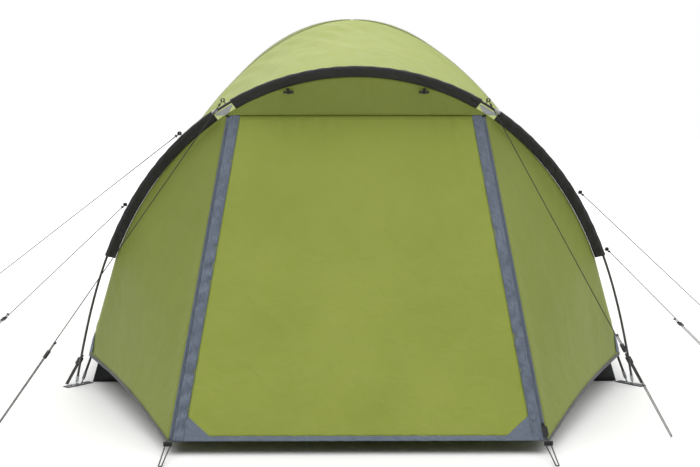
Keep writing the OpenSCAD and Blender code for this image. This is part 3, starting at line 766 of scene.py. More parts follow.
def tube(name: str, path: Array, radius: float, sides: int = 10, closed_ends: bool = True) -> bpy.types.Object:
    """A round tube along a path, with its frame carried along so that it doesn't twist.

    Args:
        name: The piece's name.
        path: The points that it follows.
        radius: Its radius.
        sides: Its number of sides.
        closed_ends: Whether its ends are capped.

    Returns:
        The new piece.
    """
    path = np.asarray(path, float)
    tangent = unit(np.gradient(path, axis=0))
    across = unit(np.cross(tangent[0], [0.31, 0.17, 0.93]))
    rings = []
    for centre, way in zip(path, tangent):
        across = unit(across - way * np.dot(across, way))
        other = np.cross(way, across)
        turn = np.arange(sides) * 2 * math.pi / sides
        rings.append(centre + radius * (np.outer(np.cos(turn), across) + np.outer(np.sin(turn), other)))
    count = len(path)
    faces = [(i * sides + j, i * sides + (j + 1) % sides, (i + 1) * sides + (j + 1) % sides, (i + 1) * sides + j)
             for i in range(count - 1) for j in range(sides)]
    if closed_ends:
        faces += [tuple(range(sides))[::-1], tuple((count - 1) * sides + j for j in range(sides))]
    gone = np.concatenate([[0], np.cumsum(np.linalg.norm(np.diff(path, axis=0), axis=1))])
    uvs = [(2 * math.pi * radius * j / sides, g) for g in gone for j in range(sides)]
    return piece_from(name, np.concatenate(rings), faces, np.array(uvs))


def smooth_path(points: Sequence[Sequence[float]], step: float) -> Array:
    """A path through the points with its corners rounded off.

    Args:
        points: The route's points.
        step: Spacing of the new points.

    Returns:
        The smooth path.
    """
    route = np.asarray(points, float)
    gone = np.concatenate([[0], np.cumsum(np.linalg.norm(np.diff(route, axis=0), axis=1))])
    count = max(int(gone[-1] / step), 8)
    return np.stack([np.interp(np.linspace(0, gone[-1], count), gone, route[:, k]) for k in range(3)], axis=1)


def join(name: str, parts: Sequence[bpy.types.Object]) -> bpy.types.Object:
    """Joins objects into one piece.

    Args:
        name: The piece's name.
        parts: The objects.

    Returns:
        The joined piece.
    """
    choose(parts[0])
    for part in parts:
        part.select_set(True)
    if len(parts) > 1:
        bpy.ops.object.join()
    whole = bpy.context.view_layer.objects.active
    whole.name = name
    whole.data.name = name
    return whole


def stitches(name: str, lines: Sequence[Array], pitch: float = 5 * MM, thread: float = 0.5 * MM) -> bpy.types.Object:
    """Rows of stitches: a short flat bar of thread for each.

    Args:
        name: The piece's name.
        lines: The paths to sew along, each just over the cloth.
        pitch: Length of a stitch with its gap.
        thread: Half the thread's width.

    Returns:
        The new piece.
    """
    points, faces = [], []
    for line in lines:
        path = smooth_path(line, pitch)
        out = unit(path - HEART)
        for a, b, up in zip(path[:-1], path[1:], out):
            way = unit(b - a)
            side = unit(np.cross(way, up)) * thread
            rise = np.cross(side, way)
            start, end = mix(a, b, 0.14), mix(a, b, 0.86)
            first = len(points)
            points += [start, mix(a, b, 0.3) + side + rise, mix(a, b, 0.3) - side + rise,
                       mix(a, b, 0.7) + side + rise, mix(a, b, 0.7) - side + rise, end,
                       mix(a, b, 0.5) - rise]
            faces += [[first + k for k in f] for f in ((0, 2, 1), (1, 2, 4, 3), (3, 4, 5), (0, 1, 3, 5, 6),
                                                       (0, 6, 5, 4, 2))]
    return piece_from(name, np.array(points), faces)


# The stage

@dataclass
class Studio:
    """Camera, lights and floor."""

    eye: tuple[float, float, float] = (-0.07, -7.5, 1.45)
    pitch: float = 82.02
    yaw: float = -0.47
    lens: float = 93.8
    floor_half: float = 9.0
    ambient: float = 0.09  # strength of the light from all round

    def build(self) -> None:
        """Makes the camera, the lights and the floor."""
        camera = bpy.data.objects.new("camera", bpy.data.cameras.new("camera"))
        camera.data.lens = self.lens
        camera.data.sensor_width = 36
        camera.data.clip_end = 100
        camera.location = self.eye
        camera.rotation_euler = (math.radians(self.pitch), 0, math.radians(self.yaw))
        bpy.context.scene.collection.objects.link(camera)
        bpy.context.scene.camera = camera
        for name, place, size, power in (("ceiling_softbox", (0.0, 2.0, 9.0), 34.0, 5668),
                                         ("front_softbox", (-2.2, -6.5, 3.4), 4.0, 27),
                                         ("side_softbox", (5.0, -2.0, 2.6), 3.0, 23),
                                         ("rear_softbox", (-1.0, 5.5, 3.0), 4.0, 37)):
            self._light(name, place, size, power)
        world = bpy.data.worlds.new("studio")
        world.use_nodes = True
        tree = world.node_tree
        backdrop = tree.nodes["Background"]
        backdrop.inputs["Color"].default_value = linear("#ffffff")
        seen = add_node(tree, "ShaderNodeLightPath").outputs["Is Camera Ray"]
        glow = add_node(tree, "ShaderNodeMapRange", {"Value": seen, "To Min": self.ambient, "To Max": 1.0})
        tree.links.new(glow.outputs[0], backdrop.inputs["Strength"])
        bpy.context.scene.world = world
        bpy.context.scene.view_settings.view_transform = "Standard"
        deselect()
        bpy.ops.mesh.primitive_plane_add(size=2 * self.floor_half, location=(0, 0, 0))
        ground = bpy.context.object
        ground.name = "studio_floor"
        material, tree = blank_material("pale_floor")
        flat = add_node(tree, "ShaderNodeBsdfPrincipled", {"Base Color": linear("#fbfbfa"), "Roughness": 0.9})
        add_node(tree, "ShaderNodeOutputMaterial", {"Surface": flat.outputs[0]})
        ground.data.materials.append(material)

    @staticmethod
    def _light(name: str, place: tuple[float, float, float], size: float, power: float) -> None:
        """Adds a square softbox that faces the tent."""
        lamp = bpy.data.lights.new(name, "AREA")
        lamp.energy = power
        lamp.size = size
        box = bpy.data.objects.new(name, lamp)
        box.location = place
        box.rotation_euler = (Vector((0, -0.6, 0.6)) - Vector(place)).to_track_quat("-Z", "Y").to_euler()
        bpy.context.scene.collection.objects.link(box)


# Cords

@dataclass(frozen=True)
class GuyRoute:
    """Where a guyline leaves the hoop, and where its peg would stand."""

    number: int
    hoop: tuple[float, float, float]
    peg: tuple[float, float, float]


GUY_ROUTES = (
    GuyRoute(1, (-0.445, -1.445, 1.042), (-1.170, -1.850, 0.004)),
    GuyRoute(2, (0.445, -1.445, 1.042), (1.000, -1.850, 0.004)),
    GuyRoute(3, (-0.598, -1.407, 0.931), (-1.770, -0.300, 0.004)),
    GuyRoute(4, (-0.793, -1.323, 0.681), (-1.500, -0.500, 0.004)),
    GuyRoute(5, (0.764, -1.337, 0.724), (1.545, -0.400, 0.004)),
    GuyRoute(6, (0.869, -1.267, 0.518), (1.385, -0.600, 0.004)),
)


@dataclass
class Guylines:
    """Six guylines, each doubled round its peg's place and back through a tensioner to a knot."""

    diameter: float = 3 * MM
    loop: float = 0.320
    pitch: float = 9 * MM

    def build(self) -> None:
        """Makes each guyline with its tensioner and knots."""
        for route in GUY_ROUTES:
            self._line(route)

    def _line(self, route: GuyRoute) -> None:
        """Makes one guyline."""
        start, peg = np.array(route.hoop), np.array(route.peg)
        way = unit(peg - start)
        side = unit(np.cross([0, 0, 1], way))
        up = np.cross(way, side)
        half = self.pitch / 2
        run = [start, mix(start, peg, 0.25), mix(start, peg, 0.5), peg - way * (self.loop + 0.070),
               peg - way * (self.loop + 0.040)]
        run = [p - side * half for p in run] + [peg - way * half - side * half]
        run += [peg - way * half + half * (way * math.cos(a) + side * math.sin(a))
                for a in np.radians(np.arange(-75, 76, 15))]
        run += [peg - way * half + side * half, peg - way * self.loop * 0.5 + side * half,
                peg - way * (self.loop + 0.045) + side * half]
        path = smooth_path(run, 3 * MM)
        cord = tube(f"guyline_cord_{route.number}", path, self.diameter / 2)
        body = f"tensioner_{route.number}"
        node = f"guyline_{route.number}"
        dress(cord, CORD_BRAID, "tent", [node])
        middle = peg - way * self.loop
        lock = self._tensioner(f"tensioner_slide_{route.number}", middle, way, side, up)
        dress(lock, ACETAL, body, [body])
        knots = join(f"guyline_knots_{route.number}", [
            self._knot(run[-1], way), self._knot(start - side * half + way * 0.012, way)])
        dress(knots, CORD_BRAID)

    def _knot(self, place: Array, way: Array) -> bpy.types.Object:
        """An overhand knot: a short trefoil of the same cord."""
        turn = np.linspace(0, 2 * math.pi, 41)
        size = 1.35 * self.diameter / 2
        knot = np.stack([np.sin(turn) + 2 * np.sin(2 * turn), np.cos(turn) - 2 * np.cos(2 * turn),
                         -np.sin(3 * turn) * 1.6], axis=1) * size / 1.6
        side = unit(np.cross(way, [0.2, 0.4, 1]))
        base = np.stack([way, side, np.cross(way, side)], axis=0)
        return tube("knot", place + knot @ base, self.diameter / 2, 8, closed_ends=False)

    def _tensioner(self, name: str, middle: Array, way: Array, side: Array, up: Array) -> bpy.types.Object:
        """A rounded slide with two cord holes and a window between them.

        Args:
            name: The piece's name.
            middle: Its middle.
            way: Direction along the cord.
            side: Direction from one run of the cord to the other.
            up: Direction through its thickness.

        Returns:
            The new piece.
        """
        deselect()
        bpy.ops.mesh.primitive_cube_add(size=1, location=(0, 0, 0))
        slide = bpy.context.object
        slide.name = slide.data.name = name
        slide.scale = (0.030, self.pitch + 0.010, 0.007)
        settle_place(slide)
        bpy.ops.object.mode_set(mode="EDIT")
        bpy.ops.mesh.select_all(action="SELECT")
        bpy.ops.mesh.bevel(offset=0.0022, segments=3, affect="EDGES")
        bpy.ops.object.mode_set(mode="OBJECT")
        cutters = []
        for s in (-1, 1):
            bpy.ops.mesh.primitive_cylinder_add(vertices=20, radius=self.diameter / 2 + 0.0006, depth=0.04,
                                                location=(0, s * self.pitch / 2, 0), rotation=(0, math.pi / 2, 0))
            cutters.append(bpy.context.object)
        bpy.ops.mesh.primitive_cube_add(size=1, location=(0, 0, 0))
        window = bpy.context.object
        window.scale = (0.012, 0.0055, 0.02)
        cutters.append(window)
        for k, cutter in enumerate(cutters):
            settle_place(cutter)
            cut = slide.modifiers.new(f"hole_{k}", "BOOLEAN")
            cut.operation = "DIFFERENCE"
            cut.object = cutter
        apply_modifiers(slide)
        for cutter in cutters:
            bpy.data.objects.remove(cutter)
        place = Matrix.Translation(Vector(middle)) @ Matrix(
            [[way[k], side[k], up[k]] for k in range(3)]).to_4x4()
        slide.data.transform(place)
        choose(slide)
        bpy.ops.object.shade_smooth_by_angle(angle=math.radians(40))
        return slide


@dataclass
class PegLoops:
    """A doubled cord that hangs forward from a ring at each front corner of the porch."""

    diameter: float = 4 * MM
    ring: tuple[float, float, float] = (0.584, -2.050, 0.035)
    start: tuple[float, float, float] = (0.584, -2.062, 0.030)
    end: tuple[float, float, float] = (0.594, -2.205, 0.006)
    spread: float = 8 * MM

    def build(self) -> None:
        """Makes both loops."""
        for s, side in SIDES:
            flip = np.array([s, 1, 1])
            a, b = np.array(self.start) * flip, np.array(self.end) * flip
            x = unit(b - a)
            y = unit(np.cross([0, 0, 1], x))
            r = 5 * MM
            route = [a - y * self.spread, mix(a, b, 0.5) - y * 6 * MM, b - x * 0.012 - y * r]
            route += [b - x * r + r * (x * math.cos(w) + y * math.sin(w)) for w in np.radians(np.arange(-75, 76, 15))]
            route += [b - x * 0.012 + y * r, mix(a, b, 0.5) + y * 6 * MM, a + y * self.spread]
            path = smooth_path(route, 3 * MM)
            loop = tube(f"peg_loop_cord_{side}", path, self.diameter / 2)
            dress(loop, CORD_BRAID, "tent", [f"peg_loop_{side}"])


# Cloth

@dataclass
class FlySheet:
    """The fly's panels over the poles and round the porch."""

    crown: float = 18 * MM  # how far the fly stands over the poles near the crossing
    sag: float = 9 * MM
    header_drop: float = 5.5 * MM  # how far the header's lower edge lies below the top of the front
    header_lift: float = 3.4 * MM  # how far it stands in front of the door
    rows: int = 64
    cols: int = 40

    def _pole_line(self, t: Array, sx: int, sy: int) -> Array:
        """Points on the fly over a main pole, from the corner at 0 to the crossing at 1."""
        phi = PITCH.phi_corner * (1 - np.asarray(t))
        return PITCH.main_at(phi, PITCH.fly_off + self.crown * np.exp(-(phi / 30) ** 2), sx, sy)

    def build(self) -> None:
        """Makes each panel of the fly."""
        self._roof()
        for s, side in SIDES:
            self._side(s, side)
            self._porch_side(s, side)
        self._rear()
        self._header()
        self._seams()

    def _roof(self) -> None:
        """The panel between the front arms of the main poles and the hoop's seam."""
        places = np.linspace(-1, 1, 2 * self.rows + 1)
        lines = []
        for s in places:
            t = max(1 - abs(s), 0.012)
            side = -1 if s < 0 else 1
            seam = PITCH.seam_at(t) * np.array([side, 1, 1])
            pole = self._pole_line(t, side, -1)
            lines.append([mix(pole, seam, j / self.cols) for j in range(self.cols + 1)])
        roof = Sheet("fly_roof", np.array(lines))
        fade = edge_fade(roof.grid.shape[:2], 0.06, 0.2)
        across = np.abs(places)[:, None] + 0 * fade
        roof.push(lambda u, v: -self.sag * (1 - across), fade)
        roof.push(lambda u, v: 3.2 * MM * ripples(v, u, 0.16, 0.9, 11) + 3.0 * MM * creases(v, u, 0.34, 1.1, 5), fade)
        roof.push(lambda u, v: 1.6 * MM * creases(v + 0.3 * u, u, 0.2, 0.5, 21), fade)
        roof.build(FLY_CLOTH, Slot.FLY, ["roof_panel"], Held.STRETCHED,
                   rests_on=["main_pole_left_front", "main_pole_right_front"])

    def dome_grid(self, first: tuple[int, int], last: tuple[int, int]) -> Array:
        """A grid from the crossing down to the hem between two pole arms, with the hem arched up."""
        lines = []
        for i in range(self.rows + 1):
            t = 1 - max(i, 0.3) / self.rows
            a, b = self._pole_line(t, *first), self._pole_line(t, *last)
            arch = PITCH.hem_rise * (i / self.rows) ** 4
            lines.append([mix(a, b, j / self.cols) + np.array([0, 0, arch * math.sin(math.pi * j / self.cols)])
                          for j in range(self.cols + 1)])
        return np.array(lines)

    def _side(self, s: int, side: str) -> None:
        """The side panel between a front and a rear pole arm."""
        panel = Sheet(f"fly_side_{side}", self.dome_grid((s, -1), (s, 1)))
        fade = edge_fade(panel.grid.shape[:2], 0.12, 0.15)
        panel.push(lambda u, v: -1.6 * self.sag * np.ones_like(u) + 1.6 * MM * ripples(u, v, 0.45, 1.4, 31 + s)
                   + 1.0 * MM * creases(u, v, 0.5, 1.2, 33 + s), fade)
        # Darker taffeta: painted shade on a panel that faces away from the light above
        panel.build(PAINTED_SHADE_TAFFETA, Slot.SHADE, [f"{side}_side_panel"], Held.STRETCHED,
                    rests_on=["main_pole_left_front", "main_pole_right_front"])

    def _rear(self) -> None:
        """The rear panel."""
        panel = Sheet("fly_rear", self.dome_grid((-1, 1), (1, 1)))
        fade = edge_fade(panel.grid.shape[:2], 0.12, 0.15)
        panel.push(lambda u, v: -1.6 * self.sag * np.ones_like(u) + 1.6 * MM * ripples(u, v, 0.45, 1.5, 41)
                   + 1.0 * MM * creases(u, v, 0.5, 1.2, 43), fade)
        # Darker taffeta: painted shade on a panel that faces away from the light above
        panel.build(PAINTED_SHADE_TAFFETA, Slot.SHADE, ["rear_panel"], Held.STRETCHED,
                    rests_on=["main_pole_left_front", "main_pole_right_front"])

    def porch_rows(self) -> Array:
        """The right porch panel's grid, from the shoulder down to the hem."""
        lines = []
        for i in range(self.rows + 1):
            v = max(i, 0.4) / self.rows
            a = PITCH.seam_at(1 - v, PITCH.phi_shoulder)
            b = mix(PITCH.shoulder, PITCH.porch_corner, v)
            arch = PITCH.hem_rise * v ** 4
            lines.append([mix(a, b, j / self.cols) + np.array([0, 0, arch * math.sin(math.pi * j / self.cols)])
                          for j in range(self.cols + 1)])
        return np.array(lines)

    def _porch_side(self, s: int, side: str) -> None:
        """The porch's side panel, from the hoop's seam to the door's zip."""
        grid = self.porch_rows() * np.array([s, 1, 1])
        panel = Sheet(f"porch_side_{side}", grid)
        fade = edge_fade(panel.grid.shape[:2], 0.10, 0.12)
        panel.push(lambda u, v: -0.9 * self.sag * np.ones_like(u) + 1.0 * MM * ripples(u, v, 0.30, 1.6, 51 + s)
                   + 0.8 * MM * creases(u, v, 0.40, 1.5, 53 + s), fade)
        # Darker taffeta: painted shade on a panel that faces away from the light above
        panel.build(PAINTED_SHADE_TAFFETA, Slot.SHADE, [f"porch_{side}_panel"], Held.STRETCHED, rests_on=["hoop_pole"])

    def _header(self) -> None:
        """The panel between the brow and the top of the door."""
        count = 72
        lines = []
        for i in range(count + 1):
            share = i / count
            phi = -PITCH.phi_shoulder + 2 * PITCH.phi_shoulder * share
            top = PITCH.hoop_at(phi, -PITCH.band_w)
            low = PITCH.front(mix(-PITCH.shoulder[0], PITCH.shoulder[0], share), PITCH.front_len - self.header_drop,
                              self.header_lift)
            if i in (0, count):
                top = top + np.array([0, 0, 0.003])
            lines.append([mix(top, low, j / 14) for j in range(15)])
        header = Sheet("porch_header_cloth", np.array(lines))
        fade = edge_fade(header.grid.shape[:2], 0.08, 0.25)
        header.push(lambda u, v: 2.2 * MM * ripples(v, u, 0.07, 0.3, 61) + 1.6 * MM * creases(v, u, 0.16, 0.4, 63),
                    fade)
        # Darker taffeta: painted shade under the brow
        header.build(PAINTED_SHADE_TAFFETA, Slot.SHADE, ["porch_header"], Held.STRETCHED, rests_on=["hoop_pole"])

    def _seams(self) -> None:
        """Flat felled seams over the main poles, with their stitches."""
        rows = []
        for sx, sy in ((-1, -1), (1, -1), (-1, 1), (1, 1)):
            rows.append(self._pole_line(np.linspace(0.02, 0.995, 70), sx, sy))
        tapes, threads = [], []
        for k, row in enumerate(rows):
            out = unit(row - HEART)
            side = unit(np.cross(np.gradient(row, axis=0), out))
            tape = tube(f"seam_{k}", row + out * 0.4 * MM, 1.0 * MM, 6)
            tapes.append(tape)
            threads += [row + out * 1.2 * MM + side * w for w in (-3.5 * MM, 3.5 * MM)]
        seam = join("fly_pole_seams", tapes)
        # The seam tapes use the darker taffeta: painted shade along the seams
        dress(seam, PAINTED_SHADE_TAFFETA)
        sewn = stitches("fly_pole_stitching", threads, pitch=7 * MM)
        dress(sewn, GREEN_THREAD)


@dataclass
class Sleeves:
    """The black sleeves that hold the hoop, sewn to the fly along its seam."""

    tunnel: float = 8.0 * MM
    gap_low: float = 0.414
    gap_high: float = 0.478

    def build(self) -> None:
        """Makes the three sleeves and the patches between them."""
        low = PITCH.hoop.phi_at_run(self.gap_low, 0)
        high = PITCH.hoop.phi_at_run(self.gap_high, 0)
        self._sleeve("sleeve_cloth_left", -PITCH.phi_sleeve, -high, "sleeve_left", 71)
        self._sleeve("sleeve_cloth_brow", -low, low, "sleeve_brow", 72)
        self._sleeve("sleeve_cloth_right", high, PITCH.phi_sleeve, "sleeve_right", 73)
        for s, side in SIDES:
            self._patch(s, side, low, high)

    def _sleeve(self, name: str, first: float, last: float, node: str, seed: int) -> None:
        """Makes one sleeve: a band folded round the pole with both its feet on the seam."""
        count = 110 if "brow" in name else 80
        phis = np.linspace(first, last, count + 1)
        foot = PITCH.band_w - 0.001
        around = np.radians(np.linspace(170, 370, 18))
        lines = []
        for k, phi in enumerate(phis):
            centre = PITCH.hoop_at(phi)
            inward = unit(PITCH.hoop_at(phi, -0.01) - centre)
            front = PITCH.hoop_front
            r = self.tunnel * (1 + 0.06 * math.sin(k * 0.9 + seed))
            outline = [(-mix(1.2 * MM, 0.985 * r, share), mix(foot, 0.17 * r, share)) for share in np.linspace(0,
                                                                                                               0.9, 8)]
            outline += [(r * math.cos(a), r * math.sin(a)) for a in around]
            outline += [(mix(1.2 * MM, 0.985 * r, share), mix(foot, 0.17 * r, share)) for share in np.linspace(0.9,
                                                                                                               0, 8)]
            lines.append([centre + front * x + inward * y for x, y in outline])
        grid = np.array(lines)
        sleeve = Sheet(name, grid, 0.7 * MM)
        axis = PITCH.hoop_at(phis)[:, None, :]
        flat = sleeve.cloth
        fade = edge_fade(grid.shape[:2], 0, 0.25)
        bulge = (1.5 * MM * ripples(flat[..., 1], flat[..., 0], 0.055, 0.10, seed)
                 + 1.3 * MM * creases(flat[..., 1], flat[..., 0], 0.09, 0.12, seed + 9)) * fade
        across = np.sign(((grid - axis) * PITCH.hoop_front).sum(-1))[..., None] * PITCH.hoop_front
        sleeve.grid = grid + np.clip(bulge, -0.5 * MM, 3 * MM)[..., None] * across
        sleeve.build(SLEEVE_CLOTH, Slot.SLEEVE, [node], Held.FOLDED, rests_on=["hoop_pole"])

    def _patch(self, s: int, side: str, low: float, high: float) -> None:
        """A light patch from the pole to the seam where two sleeves stop."""
        count = 14
        lines = []
        for i in range(count + 1):
            phi = s * (low + 0.3 + (high - low - 0.6) * i / count)
            narrow = 0.5 - abs(i / count - 0.5)
            depth = 9 * MM + (PITCH.band_w - 10 * MM) * min(1, narrow * 2 + 0.25)
            lines.append([PITCH.hoop_at(phi, -mix(8.5 * MM, depth, j / 8)) for j in range(9)])
        patch = Sheet(f"shoulder_patch_{side}", np.array(lines), 0.8 * MM)
        patch.push(lambda u, v: 1.2 * MM * ripples(u, v, 0.03, 0.05, 81 + s), edge_fade(patch.grid.shape[:2], 0.2, 0.2))
        patch.build(PATCH_CLOTH, Slot.PATCH, ["shoulder_patches"], Held.STRETCHED, rests_on=["hoop_pole"])


@dataclass
class PorchDoor:
    """The porch door: its green cloth, its flaps, hem, corner patches and stitching."""

    rows: int = 96
    cols: int = 72

    def build(self) -> None:
        """Makes the door's pieces."""
        self._cloth()
        for s, side in SIDES:
            self._flap(s, side)
            self._corner(s, side)
        self._hem()
        self._stitching()

    def _front_grid(self, left: Callable, right: Callable, low: float, high: float, rows: int, cols: int,
                    lift: float) -> Array:
        """A grid on the front plane between two edges, from the top down."""
        lines = []
        for i in range(rows + 1):
            w = high + (low - high) * i / rows
            v = w / PITCH.front_len
            lines.append([PITCH.front(mix(left(v), right(v), j / cols), w, lift) for j in range(cols + 1)])
        return np.array(lines)

    def _cloth(self) -> None:
        """The door's green cloth, pulled flat with a few long soft folds."""
        grid = self._front_grid(lambda v: -PITCH.door_x(v) - 2 * MM, lambda v: PITCH.door_x(v) + 2 * MM,
                                PITCH.hem_h - 0.002, PITCH.door_top, self.rows, self.cols, 1 * MM)
        door = Sheet("porch_door_cloth", grid)
        fade = edge_fade(grid.shape[:2], 0.10, 0.10)
        door.push(lambda u, v: 1.6 * MM * ripples(u, v, 0.50, 1.6, 91) + 0.8 * MM * ripples(v, u, 0.40, 0.9, 92)
                  + 0.7 * MM * creases(u, v, 0.55, 1.4, 93), fade)
        near_top = edge_fade(grid.shape[:2], 0.02, 0.06) * np.exp(-np.linspace(0, 14, self.rows + 1))[:, None]
        door.push(lambda u, v: 3.0 * MM * ripples(u, v, 0.045, 0.30, 94), near_top)
        door.build(FLY_CLOTH, Slot.FLY, ["porch_door"], Held.STRETCHED, "porch_door")

    def _flap(self, s: int, side: str) -> None:
        """The crumpled grey flap along one edge of the door."""
        grid = self._front_grid(lambda v: s * (PITCH.door_x(v) - 3 * MM), lambda v: s * PITCH.flap_x(v),
                                0.0, PITCH.door_top, 220, 18, 2.6 * MM)
        flap = Sheet(f"door_flap_{side}", grid, 0.8 * MM)
        u_share = np.linspace(0, 1, grid.shape[1])[None, :] + 0 * grid[..., 0]
        fade = edge_fade(grid.shape[:2], 0.01, 0.10)
        flap.push(lambda u, v: 2.4 * MM * ripples(v + 0.8 * s * u, u, 0.085, 0.10, 101 + s)
                  + 2.4 * MM * creases(v - 0.7 * s * u, u, 0.11, 0.16, 103 + s)
                  + 1.2 * MM * creases(u, v, 0.028, 0.5, 105 + s), fade)
        fold = np.exp(-((u_share - 0.62) / 0.05) ** 2) - 0.8 * np.exp(-((u_share - 0.72) / 0.04) ** 2)
        flap.push(lambda u, v: 1.6 * MM * fold, 1.0)
        low = np.clip(1 - flap.cloth[..., 1].max() + flap.cloth[..., 1], 0, 1) ** 18
        flap.push(lambda u, v: 2.4 * MM * creases(v * 0.7 + s * u, u, 0.05, 0.4, 107 + s), low * fade)
        flap.build(TRIM_CLOTH, Slot.TRIM, [f"{side}_door_flap"], Held.STRETCHED, "porch_door")

    def _corner(self, s: int, side: str) -> None:
        """The patch that reinforces a bottom corner of the door."""
        wide, tall, count = 0.080, 0.075, 16
        edge = PITCH.door_x(0.02)
        lines = []
        for i in range(count + 1):
            w = PITCH.hem_h + tall * (1 - i / count)
            reach = wide * (i / count) + 2 * MM
            lines.append([PITCH.front(s * (edge - reach * j / 10), w, 2.2 * MM) for j in range(11)])
        patch = Sheet(f"door_corner_patch_{side}", np.array(lines), 0.7 * MM)
        patch.push(lambda u, v: 0.8 * MM * ripples(u, v, 0.03, 0.05, 111 + s), edge_fade(patch.grid.shape[:2], 0.2,
                                                                                         0.2))
        patch.build(TRIM_CLOTH, Slot.TRIM, ["door_corner_patches"], Held.STRETCHED, "porch_door")

    def _hem(self) -> None:
        """The folded hem along the door's foot."""
        edge = float(PITCH.door_x(0.0))
        grid = self._front_grid(lambda v: -edge, lambda v: edge, 0.0, PITCH.hem_h + 0.002, 6, 120, 2.4 * MM)
        hem = Sheet("door_hem_tape", grid, 1.2 * MM)
        hem.push(lambda u, v: 1.0 * MM * ripples(u, v, 0.06, 0.05, 121) + 0.8 * MM * creases(u, v, 0.09, 0.05, 122))
        hem.build(TRIM_CLOTH, Slot.TRIM, ["door_hem"], Held.FOLDED, "porch_door")

    def _stitching(self) -> None:
        """Rows of stitches beside the flaps and along the top seam."""
        v = np.linspace(0.02, 0.985, 60)
        w = v * PITCH.front_len
        lines = []
        for s, _ in SIDES:
            lines += [PITCH.front(s * (PITCH.door_x(v) + inset), w, 4.2 * MM) for inset in (0.0015, 0.0075)]
        green = stitches("door_flap_stitching", lines, pitch=7 * MM)
        dress(green, GREY_THREAD, "porch_door")
        across = np.linspace(-0.98, 0.98, 60)
        tops = [PITCH.front(across * PITCH.door_x(1.0), PITCH.door_top - drop, 2.4 * MM) for drop in (0.008, 0.016)]
        sewn = stitches("door_top_stitching", tops, pitch=7 * MM)
        dress(sewn, GREEN_THREAD, "porch_door")


@dataclass
class DoorZips:
    """A coil zip up each side of the door, with its slider and puller."""

    tooth_pitch: float = 2.4 * MM

    def build(self) -> None:
        """Makes the tapes and coils; the sliders and pullers are rigid fittings."""
        for s, side in SIDES:
            self._tape(s, side)
            self._coil(s, side)
            self._puller(s, side)

    def _tape(self, s: int, side: str) -> None:
        """The zip's woven tape."""
        lines = []
        for i in range(81):
            v = i / 80 * 0.995
            outer, inner = PITCH.zip_x(v), PITCH.zip_x(v) - PITCH.zip_w
            lines.append([PITCH.front(s * mix(inner, outer, j / 4), 0.002 + v * PITCH.front_len * 0.995, 0.5 * MM)
                          for j in range(5)])
        tape = Sheet(f"zip_tape_{side}", np.array(lines), 0.8 * MM)
        tape.build(TRIM_CLOTH, Slot.ZIP, ["door_zips"], Held.STRETCHED)

    def _coil(self, s: int, side: str) -> None:
        """The coil: a row of small arched teeth, bevelled once and repeated."""
        length = PITCH.front_len * 0.985
        deselect()
        bpy.ops.mesh.primitive_cube_add(size=1, location=(0, 0, 0))
        coil = bpy.context.object
        coil.name = coil.data.name = f"zip_coil_{side}"
        coil.scale = (3.6 * MM, 1.5 * MM, 1.3 * MM)
        settle_place(coil)
        bpy.ops.object.mode_set(mode="EDIT")
        bpy.ops.mesh.select_all(action="SELECT")
        bpy.ops.mesh.bevel(offset=0.4 * MM, segments=1, affect="EDGES")
        bpy.ops.object.mode_set(mode="OBJECT")
        row = coil.modifiers.new("row", "ARRAY")
        row.use_relative_offset = False
        row.use_constant_offset = True
        row.constant_offset_displace = (0, self.tooth_pitch, 0)
        row.count = int(length / self.tooth_pitch)
        apply_modifiers(coil)
        foot = PITCH.front(s * (PITCH.zip_x(0) - PITCH.zip_w / 2), 0.004, 1.6 * MM)
        top = PITCH.front(s * (PITCH.zip_x(1) - PITCH.zip_w / 2), PITCH.front_len, 1.6 * MM)
        along = unit(top - foot)
        out = PITCH.front_out
        side_way = np.cross(along, out)
        turn = Matrix([[side_way[k], along[k], out[k]] for k in range(3)]).to_4x4()
        coil.data.transform(Matrix.Translation(Vector(foot)) @ turn)
        dress(coil, ZIP_COIL)

    def _puller(self, s: int, side: str) -> None:
        """Gives the rigid slider and puller their finish."""
        for node in (f"{side}_zip_slider", f"{side}_zip_puller"):
            finish_node(node, ACETAL)


def finish_node(node: str, finish: Any) -> None:
    """Gives a carried-over CAD node a finish.

    Args:
        node: The node's name.
        finish: The finish.
    """
    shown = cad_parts[node]
    shown.data.materials.clear()
    shown.data.materials.append(finish.material)
    LOG.info("%s: %s", node, finish.name)


